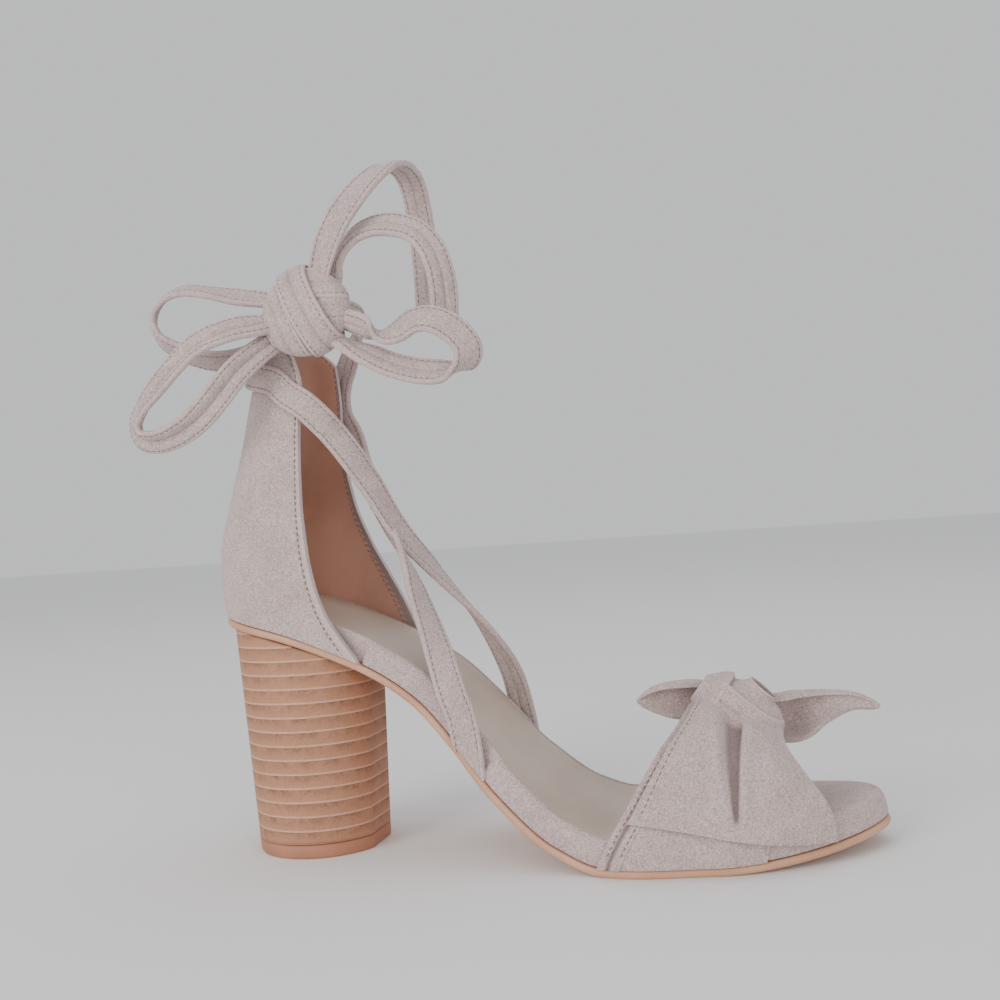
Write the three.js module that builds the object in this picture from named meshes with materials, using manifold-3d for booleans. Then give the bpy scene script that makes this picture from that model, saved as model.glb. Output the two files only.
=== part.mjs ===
// Lace up heeled sandal for the right foot: a round stacked heel, a suede heel cup, a draped
// toe band with a knotted bow, and two straps that cross the instep and tie beside the ankle.
// Millimetres, +X towards the toe, +Y towards the inner side of the foot, +Z up, floor at zero.
// In the tables "near" is the outer side of the foot (-Y) and "far" its inner side (+Y).
import * as THREE from 'three';
import { mergeVertices } from 'three/addons/utils/BufferGeometryUtils.js';
import Module from 'manifold-3d';

const wasm = await Module();
wasm.setup();

// Driving dimensions
const LENGTH = 230; // back of the heel cup to the tip of the toe, measured level
const BALL_WIDTH = 79; // sole across the ball of the foot
const SEAT_WIDTH = 52.6; // sole across the heel seat
const SEAT_RISE = 86; // floor to the top of the outsole at the very back
const SEAT_START = 2; // the seat's back lies this far ahead of the cup's bulge
const SEAT_ROUND = 25.5; // length of the round back end of the seat
const TOE_ROUND = 52.5; // length of the rounded toe end
const TOE_SWING = 5.5; // the tip of the toe leans this far to the inner side
const TOE_SPRING = 6.3; // lift of the toe tip over the ball
const OUTSOLE = 2.6; // thickness of the leather outsole
const BOARD = 9; // thickness of the padded, suede-wrapped insole board
const RIM = 3.2; // width of the wrapped rim round the sock
const RECESS = 1.5; // depth of the sock's bed in the board
const SOCK = 1; // thickness of the sock
const SOCK_END = 0.7; // share of the length where the sock stops, under the toe band
const GAP = 0.3; // running gap between pieces that touch

const HEEL_AXIS = 32.5; // back of the cup to the axis of the heel
const HEEL_BASE = 47; // heel across at the floor
const HEEL_HEAD = 53.6; // heel across at the seat
const HEEL_RAKE = 1.6; // the heel's head sits this far behind its base
const HEEL_BREAST = 17; // width of the flat front of the heel
const LIFT = 4.8; // thickness of the top lift

const CUP_RISE = 188; // floor to the peak of the heel cup
const CUP_DROP = 12; // the cup's top falls this much from the back to its front edges
const CUP_WALL = 2.6; // suede, stiffener and lining together

const BAND_RISE = 48; // height of the toe band over the sole
const BAND_WALL = 2.2; // toe band: suede and lining
const BAND_PROUD = 0.8; // the band stands out this much from the board's edge
const DRAPE_WALL = 1.8; // doubled suede of the gathered overlay
const DRAPE_PUFF = 3.2; // the overlay's folds stand out this much on the outer side
const DRAPE_PUFF_FAR = 1.6; // and this much on the inner side

const STRAP_WIDE = 10; // every strap and tie
const STRAP_THICK = 2.4;
const ASIDE = 0.9; // the overlay stands out more on the inner side: this centres the whole shoe

const SUEDE = 0xbab0ae;
const LEATHER = 0xc99b80;
const STACK = 0xb28a70;
const SOCK_COLOUR = 0xbfae9f;

// Plan and profile of the last. Widths are shares of the local width, which goes from the seat's
// to the ball's by the column "ball". "rise" is a share of the seat's height over the forefoot.
const LAST = table(['along', 'near', 'far', 'ball', 'rise'], [
  [0.0, 0.5, 0.5, 0.0, 1.0],
  [0.12, 0.5, 0.5, 0.0, 0.924],
  [0.237, 0.46, 0.47, 0.0, 0.802],
  [0.289, 0.452, 0.45, 0.0, 0.73],
  [0.346, 0.464, 0.442, 0.0, 0.623],
  [0.402, 0.478, 0.453, 0.1, 0.462],
  [0.467, 0.491, 0.472, 0.35, 0.25],
  [0.554, 0.496, 0.479, 0.7, 0.062],
  [0.624, 0.5, 0.495, 0.94, 0.0],
  [0.663, 0.5, 0.5, 1.0, 0.0],
  [0.772, 0.4544, 0.4848, 1.0, 0.0],
  [1.0, 0.4, 0.4, 1.0, 0.0],
]);

// The heel cup by height, a share of its peak: places along the length and half the seat width.
const CUP = table(['rise', 'back', 'half', 'nearFront', 'farFront'], [
  [0.36, 0.012, 0.995, 0.262, 0.292],
  [0.45, 0.006, 0.998, 0.214, 0.262],
  [0.51, 0.0, 0.982, 0.197, 0.238],
  [0.575, 0.001, 0.95, 0.187, 0.212],
  [0.665, 0.02, 0.9, 0.181, 0.187],
  [0.77, 0.046, 0.825, 0.18, 0.177],
  [0.88, 0.071, 0.76, 0.185, 0.18],
  [0.94, 0.088, 0.715, 0.172, 0.178],
  [1.0, 0.1, 0.67, 0.15, 0.15],
]);

// The toe band's and the overlay's edges round the arch, from the outer foot of the band (-1)
// over its crown (0) to the inner foot (1), as places along the length.
const BAND_EDGES = table(['turn', 'rear', 'front', 'drapeFront'], [
  [-1.0, 0.613, 0.836, 0.928],
  [-0.9, 0.637, 0.845, 0.926],
  [-0.78, 0.663, 0.855, 0.92],
  [-0.55, 0.699, 0.845, 0.893],
  [-0.3, 0.727, 0.83, 0.868],
  [0.0, 0.738, 0.825, 0.86],
  [0.35, 0.735, 0.829, 0.854],
  [0.7, 0.705, 0.825, 0.842],
  [1.0, 0.676, 0.822, 0.838],
]);
const BAND_CROWN = table(['along', 'height'], [
  [0.55, 1.1],
  [0.66, 1.03],
  [0.74, 0.93],
  [0.79, 0.86],
  [0.87, 0.67],
  [0.93, 0.56],
]);
const BAND_SQUARE = 2.4; // how square the arch is: 2 is an ellipse

// Smooth interpolation in a table whose first column is the place.
function table(names, rows) {
  const last = rows.length - 1;
  const pitch = (i, c) => (rows[i + 1][c] - rows[i][c]) / (rows[i + 1][0] - rows[i][0]);
  const slope = (i, c) => {
    if (i === 0) return pitch(0, c);
    if (i === last) return pitch(last - 1, c);
    const [before, after] = [pitch(i - 1, c), pitch(i, c)];
    return before * after > 0 ? (2 * before * after) / (before + after) : 0;
  };
  return (name, place) => {
    const c = names.indexOf(name);
    const above = rows.findIndex((row) => row[0] >= place);
    const i = above < 0 ? last - 1 : Math.max(0, above - 1);
    const span = rows[i + 1][0] - rows[i][0];
    const t = THREE.MathUtils.clamp((place - rows[i][0]) / span, 0, 1);
    const [a, b] = [rows[i][c], rows[i + 1][c]];
    const ease = t * t * (3 - 2 * t);
    const bend = t * (1 - t) * span * ((1 - t) * slope(i, c) - t * slope(i + 1, c));
    return a + (b - a) * ease + bend;
  };
}

// Closed geometry from points and triangles, turned so that its faces point out.
function closed(points, triangles) {
  let volume = 0;
  for (const [a, b, c] of triangles) {
    volume += points[a].dot(points[b].clone().cross(points[c]));
  }
  const order = volume < 0 ? (t) => [t[0], t[2], t[1]] : (t) => t;
  const geometry = new THREE.BufferGeometry().setFromPoints(points);
  geometry.setIndex(triangles.flatMap(order));
  return geometry;
}

// A solid through rings of equal count, closed at each end to the ring's middle.
function loft(rings) {
  const count = rings[0].length;
  const points = rings.flat();
  const triangles = [];
  for (let r = 0; r + 1 < rings.length; r++) {
    for (let i = 0; i < count; i++) {
      const j = (i + 1) % count;
      const [a, b] = [r * count + i, r * count + j];
      triangles.push([a, b, b + count], [a, b + count, a + count]);
    }
  }
  for (const r of [0, rings.length - 1]) {
    const middle = new THREE.Vector3();
    rings[r].forEach((p) => middle.addScaledVector(p, 1 / count));
    const m = points.push(middle) - 1;
    for (let i = 0; i < count; i++) {
      const [a, b] = [r * count + i, r * count + ((i + 1) % count)];
      triangles.push(r === 0 ? [b, a, m] : [a, b, m]);
    }
  }
  return closed(points, triangles);
}

// A wall between two sheets, each a function of two places from 0 to 1, with its edges closed.
function wall(outer, inner, across, along) {
  const points = [];
  for (const sheet of [outer, inner]) {
    for (let j = 0; j <= along; j++) {
      for (let i = 0; i <= across; i++) points.push(sheet(i / across, j / along));
    }
  }
  const row = across + 1;
  const half = row * (along + 1);
  const triangles = [];
  const quad = (a, b, c, d) => triangles.push([a, b, c], [a, c, d]);
  for (let j = 0; j < along; j++) {
    for (let i = 0; i < across; i++) {
      const a = j * row + i;
      quad(a, a + 1, a + row + 1, a + row);
      quad(half + a, half + a + row, half + a + row + 1, half + a + 1);
    }
    const [left, right] = [j * row, j * row + across];
    quad(left, left + row, half + left + row, half + left);
    quad(right + row, right, half + right, half + right + row);
  }
  for (let i = 0; i < across; i++) {
    const top = along * row + i;
    quad(i + 1, i, half + i, half + i + 1);
    quad(top, top + 1, half + top + 1, half + top);
  }
  return closed(points, triangles);
}

// Solids for cutting and joining, and back again.
function solid(geometry) {
  const bare = geometry.clone();
  bare.deleteAttribute('normal');
  bare.deleteAttribute('uv');
  const merged = mergeVertices(bare, 1e-4);
  return new wasm.Manifold(
    new wasm.Mesh({
      numProp: 3,
      vertProperties: new Float32Array(merged.attributes.position.array),
      triVerts: new Uint32Array(merged.index.array),
    }),
  );
}

function shaped(body) {
  const { vertProperties, triVerts } = body.getMesh();
  const geometry = new THREE.BufferGeometry();
  geometry.setAttribute('position', new THREE.BufferAttribute(vertProperties, 3));
  geometry.setIndex(new THREE.BufferAttribute(triVerts, 1));
  return geometry;
}

// A flat strap along points. facing gives the way that its face looks at a point, at its share of
// the strap's length and with its tangent.
class Ribbon extends THREE.CatmullRomCurve3 {
  constructor(points, facing) {
    super(points, false, 'centripetal');
    this.facing = facing;
  }

  computeFrenetFrames(steps) {
    const frames = { tangents: [], normals: [], binormals: [] };
    for (let i = 0; i <= steps; i++) {
      const tangent = this.getTangentAt(i / steps);
      const face = this.facing(this.getPointAt(i / steps), i / steps, tangent);
      const normal = face.addScaledVector(tangent, -face.dot(tangent)).normalize();
      frames.tangents.push(tangent);
      frames.normals.push(normal);
      frames.binormals.push(tangent.clone().cross(normal));
    }
    return frames;
  }
}

function ribbon(points, facing, steps, wide = STRAP_WIDE, thick = STRAP_THICK) {
  const [h, w] = [thick / 2, wide / 2];
  const soft = thick * 0.3;
  const corners = [[h, w - soft], [h - soft, w], [soft - h, w], [-h, w - soft]];
  const rest = corners.map(([x, y]) => [-x, -y]);
  const section = new THREE.Shape([...corners, ...rest].map(([x, y]) => new THREE.Vector2(x, y)));
  const path = new Ribbon(points, facing);
  return new THREE.ExtrudeGeometry(section, { steps, extrudePath: path });
}

const v = (x, y, z) => new THREE.Vector3(x, y, z);
const mix = THREE.MathUtils.lerp;
const along = (share) => (share - 0.5) * LENGTH;
const shareOf = (x) => x / LENGTH + 0.5;
const heelX = along(0) + HEEL_AXIS;

// Half the width of the sole to one side: -1 is near, 1 is far.
const seatEnd = (SEAT_START + SEAT_ROUND) / LENGTH;
const toeStart = 1 - TOE_ROUND / LENGTH;

function halfWidth(share, side) {
  const local = (place) => {
    const width = mix(SEAT_WIDTH, BALL_WIDTH, LAST('ball', place));
    return [width * LAST('near', place), width * LAST('far', place)];
  };
  if (share < seatEnd) {
    const u = (seatEnd - share) / (seatEnd - SEAT_START / LENGTH);
    return (SEAT_WIDTH / 2) * Math.sqrt(Math.max(0, 1 - u * u));
  }
  if (share > toeStart) {
    const u = (share - toeStart) / (1 - toeStart);
    const [near, far] = local(toeStart);
    const round = Math.max(0, 1 - u ** 1.6) ** 0.56;
    const swing = mix((far - near) / 2, TOE_SWING, u);
    return ((near + far) / 2) * round + side * swing;
  }
  return local(share)[side < 0 ? 0 : 1];
}

// Top line of the outsole, and a point h above it, square to that line.
function sole(share) {
  const spring = Math.max(0, (share - toeStart) / (1 - toeStart)) ** 1.6;
  const rise = OUTSOLE + (SEAT_RISE - OUTSOLE) * LAST('rise', share);
  return v(along(share), 0, rise + TOE_SPRING * spring);
}

function onSole(share, y, h) {
  const step = 0.004;
  const run = sole(share + step).sub(sole(share - step)).normalize();
  return sole(share).add(v(-run.z * h, y, run.x * h));
}

function soleHeight(x, h) {
  const step = 0.004;
  const run = sole(shareOf(x) + step).sub(sole(shareOf(x) - step)).normalize();
  return sole(shareOf(x)).z + h / run.x;
}

// Places where the sole's sections stand, close together in the two round ends.
const stations = (first, last) => {
  const places = [];
  for (let k = 0; k < 7; k++) {
    const lean = Math.cos(THREE.MathUtils.degToRad(8 + (82 * k) / 7));
    places.push(mix(seatEnd, SEAT_START / LENGTH, lean));
  }
  for (let k = 0; k < 20; k++) places.push(mix(seatEnd, toeStart, k / 20));
  for (let k = 0; k <= 9; k++) {
    places.push(mix(toeStart, 1, Math.sin(THREE.MathUtils.degToRad((84 * k) / 9))));
  }
  return [first, ...places.filter((p) => p > first + 0.004 && p < last - 0.004), last];
};
const backEnd = mix(seatEnd, SEAT_START / LENGTH, Math.cos(THREE.MathUtils.degToRad(8)));
const toeEnd = mix(toeStart, 1, Math.sin(THREE.MathUtils.degToRad(84)));

// A plate along the sole. section gives its half outline at a share, edge first, as [inset, h].
function plate(first, last, section) {
  return loft(
    stations(first, last).map((share) => {
      const half = section(share);
      const side = (sign) => half.map(([inset, h]) => {
        const y = Math.max(sign * lean(share) + 0.6, halfWidth(share, sign) - inset);
        return onSole(share, sign * y, h);
      });
      return [...side(1), ...side(-1).reverse()];
    }),
  );
}

// Middle line of the toe end, which the two sides never cross.
function lean(share) {
  return (halfWidth(share, 1) - halfWidth(share, -1)) / 2;
}

const outsole = () => plate(backEnd, toeEnd, () => [
  [1.2, -OUTSOLE], [0, -OUTSOLE * 0.6], [0, 0],
]);

const boardBlank = () => plate(backEnd, toeEnd, (share) => {
  const bed = share < SOCK_END + 0.01 ? RECESS : 0.02;
  return [
    [0.8, GAP], [0, GAP + 1], [0, BOARD - 2.2], [1.3, BOARD - 0.4],
    [RIM - 0.2, BOARD - 0.05], [RIM, BOARD - bed],
  ];
});

const sock = () => plate(backEnd + 0.014, SOCK_END, () => {
  const bed = BOARD - RECESS + GAP;
  return [[RIM + 0.5, bed], [RIM + 0.5, bed + SOCK * 0.7], [RIM + 1, bed + SOCK]];
});

// The heel: a tapered round block with a narrow flat breast, cut to the seat on top.
function heelRing(height, z) {
  const radius = mix(HEEL_BASE, HEEL_HEAD, height / SEAT_RISE) / 2;
  const flat = Math.sqrt(radius ** 2 - (HEEL_BREAST / 2) ** 2);
  const middle = heelX - (HEEL_RAKE * height) / SEAT_RISE;
  const ring = [];
  for (let k = 0; k < 36; k++) {
    const turn = (k / 36) * 2 * Math.PI;
    const x = middle + Math.min(flat, radius * Math.cos(turn));
    ring.push(v(x, radius * Math.sin(turn), z(x)));
  }
  return ring;
}

const headZ = (x) => soleHeight(x, -(OUTSOLE + GAP));
const heelStack = () => loft([
  heelRing(LIFT, () => LIFT + GAP),
  heelRing(SEAT_RISE * 0.5, () => SEAT_RISE * 0.5),
  heelRing(SEAT_RISE * 0.92, headZ),
]);
const topLift = () => loft([heelRing(-4, () => 0), heelRing(0, () => 0.8), heelRing(LIFT, () => LIFT)]);

// The heel cup: a horseshoe wall, from its near front edge (-1) round the back (0) to the far (1).
function cupPlan(turn, z, inset, margin = 0) {
  const rise = z / CUP_RISE;
  const a = Math.abs(turn);
  const back = along(CUP('back', rise)) + inset;
  const front = along(CUP(turn < 0 ? 'nearFront' : 'farFront', rise)) + margin;
  const half = (SEAT_WIDTH / 2) * CUP('half', rise) - inset;
  const round = Math.min(half + inset, 0.7 * (front - margin - back + inset)) - inset;
  const bend = 0.62;
  const lap = (Math.min(a, bend) / bend) * (Math.PI / 2);
  const x = a < bend
    ? back + round * (1 - Math.cos(lap))
    : mix(back + round, front, (a - bend) / (1 - bend));
  return v(x, Math.sign(turn) * half * Math.sin(lap), z);
}

function cupPoint(turn, height, inset, margin) {
  let foot = SEAT_RISE;
  for (let k = 0; k < 6; k++) foot = soleHeight(cupPlan(turn, foot, inset, margin).x, GAP);
  const peak = CUP_RISE - CUP_DROP * Math.abs(turn) ** 2.5 + margin;
  return cupPlan(turn, mix(foot - 4 * margin, peak, height), inset, margin);
}

function cup(outer, inner, margin = 0) {
  const sheet = (inset) => (i, j) => cupPoint(2 * i - 1, j ** 1.6, inset, margin);
  return wall(sheet(outer), sheet(inner), 26, 10);
}

// The toe arch: u goes from rear to front, turn from the outer foot over the crown, out is the
// distance outside the band's inner face.
function archPoint(place, turn, out, lift = 0) {
  const lap = Math.min(Math.abs(turn), 1) * (Math.PI / 2);
  const sharp = 2 / BAND_SQUARE;
  const side = turn < 0 ? -1 : 1;
  const reach = halfWidth(place, side) + BAND_PROUD - BAND_WALL + out;
  const height = BAND_RISE * BAND_CROWN('height', place) - BAND_WALL + out;
  const y = side * reach * Math.sin(lap) ** sharp;
  return sole(place).add(v(0, y, GAP + lift * Math.sin(lap) + height * Math.cos(lap) ** sharp));
}

function band(inner, outer, margin = 0) {
  const sheet = (out) => (i, j) => {
    const turn = 2 * i - 1;
    const rear = BAND_EDGES('rear', turn) - margin / LENGTH;
    const front = BAND_EDGES('front', turn) + margin / LENGTH;
    return archPoint(mix(rear, front, j), turn, out, -margin);
  };
  return wall(sheet(outer), sheet(inner), 28, 6);
}

// Folds of the overlay: two ridges that meet under the knot, with a deep fold between them.
function drapeFold(u, turn) {
  const ridge = (at, wide) => Math.exp(-(((u - at) / wide) ** 2));
  const body = Math.sin(Math.min(1, Math.abs(turn) * 1.25) * Math.PI) ** 0.7 || 0;
  const pair = ridge(0.2, 0.2) + ridge(0.72, 0.24) - 0.5 * ridge(0.45, 0.07);
  return (turn < 0 ? DRAPE_PUFF : DRAPE_PUFF_FAR) * body * pair;
}

function drape(inner, outer, margin = 0) {
  const sheet = (out) => (i, j) => {
    const low = mix(-0.86, -0.99, j ** 1.5) - margin * 0.02;
    const turn = mix(low, 0.99 + margin * 0.02, i);
    const rear = BAND_EDGES('rear', turn) + 3 / LENGTH - margin / LENGTH;
    const front = BAND_EDGES('drapeFront', turn) + margin / LENGTH;
    return archPoint(mix(rear, front, j), turn, out + drapeFold(j, turn), 0);
  };
  return wall(sheet(outer), sheet(inner), 28, 12);
}
const drapeInner = BAND_WALL + GAP;
const drapeOuter = drapeInner + DRAPE_WALL;

// An ellipsoid on the given half axes, leaned about the Y axis.
function pebble(middle, halves, leanAngle, grow = 0) {
  const ball = new THREE.SphereGeometry(1, 18, 10);
  ball.scale(halves.x + grow, halves.y + grow, halves.z + grow);
  ball.rotateY(leanAngle);
  return ball.translate(middle.x, middle.y, middle.z);
}

// The bow on the toe: a knot seated on the overlay, with one pointed tail to the rear and one
// to the front. Tail rows are places ahead of the knot's middle, to the side, above the floor,
// and the tail's half width there.
const BOW_MIDDLE = v(heelX + 152.5, -3, 43.5);
const BOW_HALVES = v(15.5, 12, 11);
const BOW_LEAN = THREE.MathUtils.degToRad(20);
const BOW_DEEP = 10; // the knot would reach this far inside the band: it is cut to lie on it
const TAIL_THICK = 1.8;
const REAR_TAIL = [
  [-8, 1, 47, 6], [-14, 0, 48.3, 6.2], [-20, -3, 48.8, 5.9], [-26, -5, 49.3, 4.3], [-33, -7, 49, 0.6],
];
const FRONT_TAIL = [
  [8, 2, 41.5, 7], [16, 5, 41, 8], [26, 7, 43.7, 5.4], [36, 8, 45, 2.8], [44.5, 8, 42.8, 0.8],
];

function tail(rows, up) {
  const middle = new THREE.CatmullRomCurve3(rows.map((r) => v(BOW_MIDDLE.x + r[0], r[1], r[2])));
  const half = table(['t', 'half'], rows.map((r, i) => [i / (rows.length - 1), r[3]]));
  const steps = 12;
  const rings = [];
  for (let k = 0; k <= steps; k++) {
    const t = k / steps;
    const run = middle.getTangent(t);
    const wide = up.clone().addScaledVector(run, -up.dot(run)).normalize();
    const face = run.clone().cross(wide);
    const at = middle.getPoint(t);
    rings.push([[-1, -1], [0, -1.3], [1, -1], [1, 1], [0, 0.7], [-1, 1]].map(([w, f]) => at.clone()
      .addScaledVector(wide, w * half('half', t))
      .addScaledVector(face, (f * TAIL_THICK) / 2)));
  }
  return loft(rings);
}

function toeBow() {
  const seat = solid(drape(-BOW_DEEP, drapeOuter + GAP, 1))
    .add(solid(band(-BOW_DEEP, BAND_WALL + GAP, 1)));
  const rear = tail(REAR_TAIL, v(0.1, 0.35, 1));
  const front = tail(FRONT_TAIL, v(0, 0.3, 1));
  return solid(pebble(BOW_MIDDLE, BOW_HALVES, BOW_LEAN))
    .add(solid(rear)).add(solid(front)).subtract(seat);
}

// The leg and instep that the ankle straps lie round: their faces look away from this line.
const LEG = [
  [9, 0, 1.05], [-7, 0, 0.8], [4, 0, 0.6], [26, 0, 0.42], [75, 0, 0.12],
].map(([x, y, rise]) => v(heelX + x, y, rise * CUP_RISE));

function awayFromLeg(p) {
  let best = null;
  for (let i = 0; i + 1 < LEG.length; i++) {
    const at = new THREE.Line3(LEG[i], LEG[i + 1]).closestPointToPoint(p, true, v(0, 0, 0));
    if (!best || at.distanceTo(p) < best.distanceTo(p)) best = at;
  }
  return p.clone().sub(best);
}

// Where a strap's middle lies outside the cup, and at the sole's edge.
const strapOff = GAP + 0.15 + STRAP_THICK / 2;
const onCup = (turn, z) => cupPlan(turn, z, -strapOff);
const atEdge = (share, side, up) => {
  const y = side * (halfWidth(share, side) + 0.6);
  return sole(share).add(v(0, y, up));
};
const free = (x, y, z) => v(heelX + x, y, z);

// Over the instep a strap twists: its face turns from one side to the other where it passes
// the given place across the foot. Round the cup it lies flat.
const twisting = (place) => (p) => {
  const away = awayFromLeg(p);
  const loose = 1 - THREE.MathUtils.smoothstep(p.z, 0.76 * CUP_RISE, 0.86 * CUP_RISE);
  away.y = mix(away.y, 1.8 * (p.y - place), loose);
  return away;
};

const innerStrap = [
  atEdge(0.452, 1, -5), atEdge(0.45, 1, BOARD * 0.6), atEdge(0.446, 1, BOARD * 1.4),
  free(67.5, 25, 57), free(60, 13.5, 78), free(48, 5, 97), free(37, -2, 112.5), free(29.5, -9, 130),
  free(21.5, -16.5, 146), free(13.5, -22.5, 157), onCup(-0.78, 163), onCup(-0.6, 167), onCup(-0.4, 170),
  onCup(-0.2, 172), onCup(0, 172.5), onCup(0.2, 172.5), onCup(0.4, 172), onCup(0.62, 171),
  onCup(0.86, 169),
];
const outerStrap = [
  atEdge(0.431, -1, -5), atEdge(0.427, -1, BOARD * 0.6), atEdge(0.42, -1, BOARD * 1.4),
  free(61, -27, 57), free(53, -19, 76), free(42, -9.5, 96), free(34, -1.5, 110), free(26, 6, 123),
  free(18, 15, 137), free(12, 22.5, 148), onCup(0.93, 158), onCup(0.93, 168), free(12, 21.5, 178),
  free(20, 14, 186), free(25, 1, 190), free(24, -13, 191), free(20, -28, 191),
];

function straps(grow = 0) {
  const [wide, thick] = [STRAP_WIDE + 2 * grow, STRAP_THICK + 2 * grow];
  return solid(ribbon(innerStrap, twisting(7), 46, wide, thick))
    .add(solid(ribbon(outerStrap, twisting(-11), 44, wide, thick)));
}

// The tie beside the ankle: its knot, three loops and two free ends, points from the heel's axis.
const KNOT_MIDDLE = free(19.5, -30, 188.5);
const KNOT_HALVES = v(17, 7.6, 14.7);
const knot = (grow = 0) => pebble(KNOT_MIDDLE, KNOT_HALVES, 0, grow);

// A strap bends round a line across it. "lean" is how much its face looks to the outer side, by the
// share of its length, where 1 is halfway.
const ACROSS = v(0, 1, 0);
const LEVEL = v(1, 0, 0);
const TIES = {
  loop_upper: {
    bendsRound: ACROSS,
    lean: [[0, 1], [0.15, 0.8], [0.3, 0.4], [0.5, 0.6], [0.7, 0.7], [1, 0.8]],
    points: [[8, -27, 193], [0.5, -27, 195], [-7, -27.5, 197], [-14.5, -29, 199], [-21, -30, 200.5],
      [-27, -30, 201.5], [-32.5, -30, 200.5], [-37, -30, 198], [-40, -29.5, 194], [-40, -29, 189.5],
      [-38, -27.5, 185], [-32.5, -25.5, 181], [-24.5, -24.5, 177.5], [-15.5, -24.5, 176],
      [-6.5, -24.5, 177], [3, -25, 180.5]],
  },
  loop_lower: {
    bendsRound: ACROSS,
    lean: [[0, 1.6], [0.1, 2.4], [0.35, 1.9], [0.5, 0.9], [0.6, 1.1], [0.75, 2], [0.9, 2.4], [1, 1.4]],
    points: [[9.5, -31, 187], [4, -35.5, 185.5], [-3, -38.5, 184.5], [-9.5, -39.5, 183],
      [-14.5, -40, 181.5], [-20, -40, 179], [-26.5, -40, 174], [-35, -39, 167], [-42, -38, 160.5],
      [-45.5, -37, 155], [-44, -36.5, 150], [-38.5, -36.5, 148.5], [-32, -36.5, 149.5],
      [-25, -36.5, 152.5], [-18.5, -36.5, 157], [-12, -36, 163.5], [-6.5, -35, 169.5], [0.5, -33, 175.5],
      [8, -30, 181]],
  },
  loop_right: {
    bendsRound: ACROSS,
    lean: [[0, 1.8], [0.13, 1.4], [0.22, -0.9], [0.32, -2.2], [0.46, -1.9], [0.56, 0], [0.65, 1.6],
      [0.82, 1.3], [0.92, 0.4], [1, 0.2]],
    points: [[29, -29, 185], [36, -31, 182.5], [41.5, -32, 180], [46.5, -32.5, 177.5], [50.5, -33, 177],
      [54.5, -34, 178], [59, -35, 180], [65, -36, 180], [70.5, -36, 177.5], [75.5, -36, 173],
      [77.5, -35, 168.5], [75.5, -33, 164.5], [69.5, -31, 163], [62.5, -30, 163.5], [55.5, -29.5, 165],
      [48.5, -29.5, 167.5], [43, -29.5, 170.5], [37, -29.5, 174], [30, -29.5, 179]],
  },
  end_over: {
    bendsRound: LEVEL,
    lean: [[0, 0.6], [0.15, 0.2], [0.5, 0], [1, 0]],
    points: [[25, -30, 199], [27, -30.5, 205.5], [29.5, -31, 211.5], [34, -31, 219], [39.5, -29, 226.5],
      [44, -24.5, 233], [47, -16.5, 238.5], [48.5, -7, 240.5], [49, 2.5, 238], [49, 9, 229],
      [49, 12, 217], [49, 13, 204], [49, 13, 192]],
  },
  end_forward: {
    bendsRound: ACROSS,
    lean: [[0, -1.4], [0.2, -0.8], [0.4, -1.4], [0.55, -1.5], [0.75, -1.3], [1, -1.3]],
    points: [[27, -25, 199], [28.5, -24.5, 205], [32, -24, 210.5], [37, -24, 214.5], [44, -25, 216],
      [52, -26, 215], [59.5, -27, 211.5], [64.5, -27, 205.5], [67, -27, 198], [68, -27, 190],
      [67.5, -26.5, 182]],
  },
};

function tie({ bendsRound, lean, points }) {
  const leans = table(['t', 'lean'], lean);
  const facing = (p, t, tangent) => bendsRound.clone().cross(tangent)
    .addScaledVector(ACROSS, -leans('lean', t));
  const route = points.map(([x, y, z]) => free(x, y, z));
  return solid(ribbon(route, facing, 26)).subtract(solid(knot(GAP)));
}

// Assembly
const sandal = new THREE.Group();
sandal.position.y = -ASIDE;

function piece(name, geometry, colour, roughness) {
  const material = new THREE.MeshStandardMaterial({ color: colour, roughness, metalness: 0 });
  const mesh = new THREE.Mesh(geometry, material);
  mesh.name = name;
  sandal.add(mesh);
}

const PAST = 4; // a blank that cuts room for a wall reaches this far past it
const UNDER = 6; // the strap feet are cut off by a blank this far under the outsole
const footTrim = () => plate(backEnd, toeEnd, () => [[-PAST, -OUTSOLE - UNDER], [-PAST, 0], [-PAST, GAP]]);

const board = solid(boardBlank())
  .subtract(solid(cup(-PAST, CUP_WALL + 2 * GAP, 2 * GAP)))
  .subtract(solid(band(-GAP, BAND_WALL + PAST, GAP)))
  .subtract(straps(GAP));
const ankleStraps = straps()
  .subtract(solid(cup(-GAP, CUP_WALL + PAST, GAP)))
  .subtract(solid(footTrim()))
  .subtract(solid(knot(GAP)));

piece('outsole', outsole(), LEATHER, 0.5);
piece('heel_stack', heelStack(), STACK, 0.55);
piece('top_lift', topLift(), STACK, 0.6);
piece('insole_board', shaped(board), SUEDE, 0.95);
piece('insole_sock', sock(), SOCK_COLOUR, 0.6);
piece('heel_cup', cup(0, CUP_WALL), SUEDE, 0.95);
piece('toe_band', band(0, BAND_WALL), SUEDE, 0.95);
piece('toe_drape', drape(drapeInner, drapeOuter), SUEDE, 0.95);
piece('toe_bow', shaped(toeBow()), SUEDE, 0.95);
piece('ankle_straps', shaped(ankleStraps), SUEDE, 0.95);
piece('tie_knot', knot(), SUEDE, 0.95);
for (const [name, route] of Object.entries(TIES)) {
  piece(`tie_${name}`, shaped(tie(route)), SUEDE, 0.95);
}

export default sandal;
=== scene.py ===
import math
from collections import namedtuple

import bmesh
import bpy
from mathutils import Matrix, Vector, noise


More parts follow.
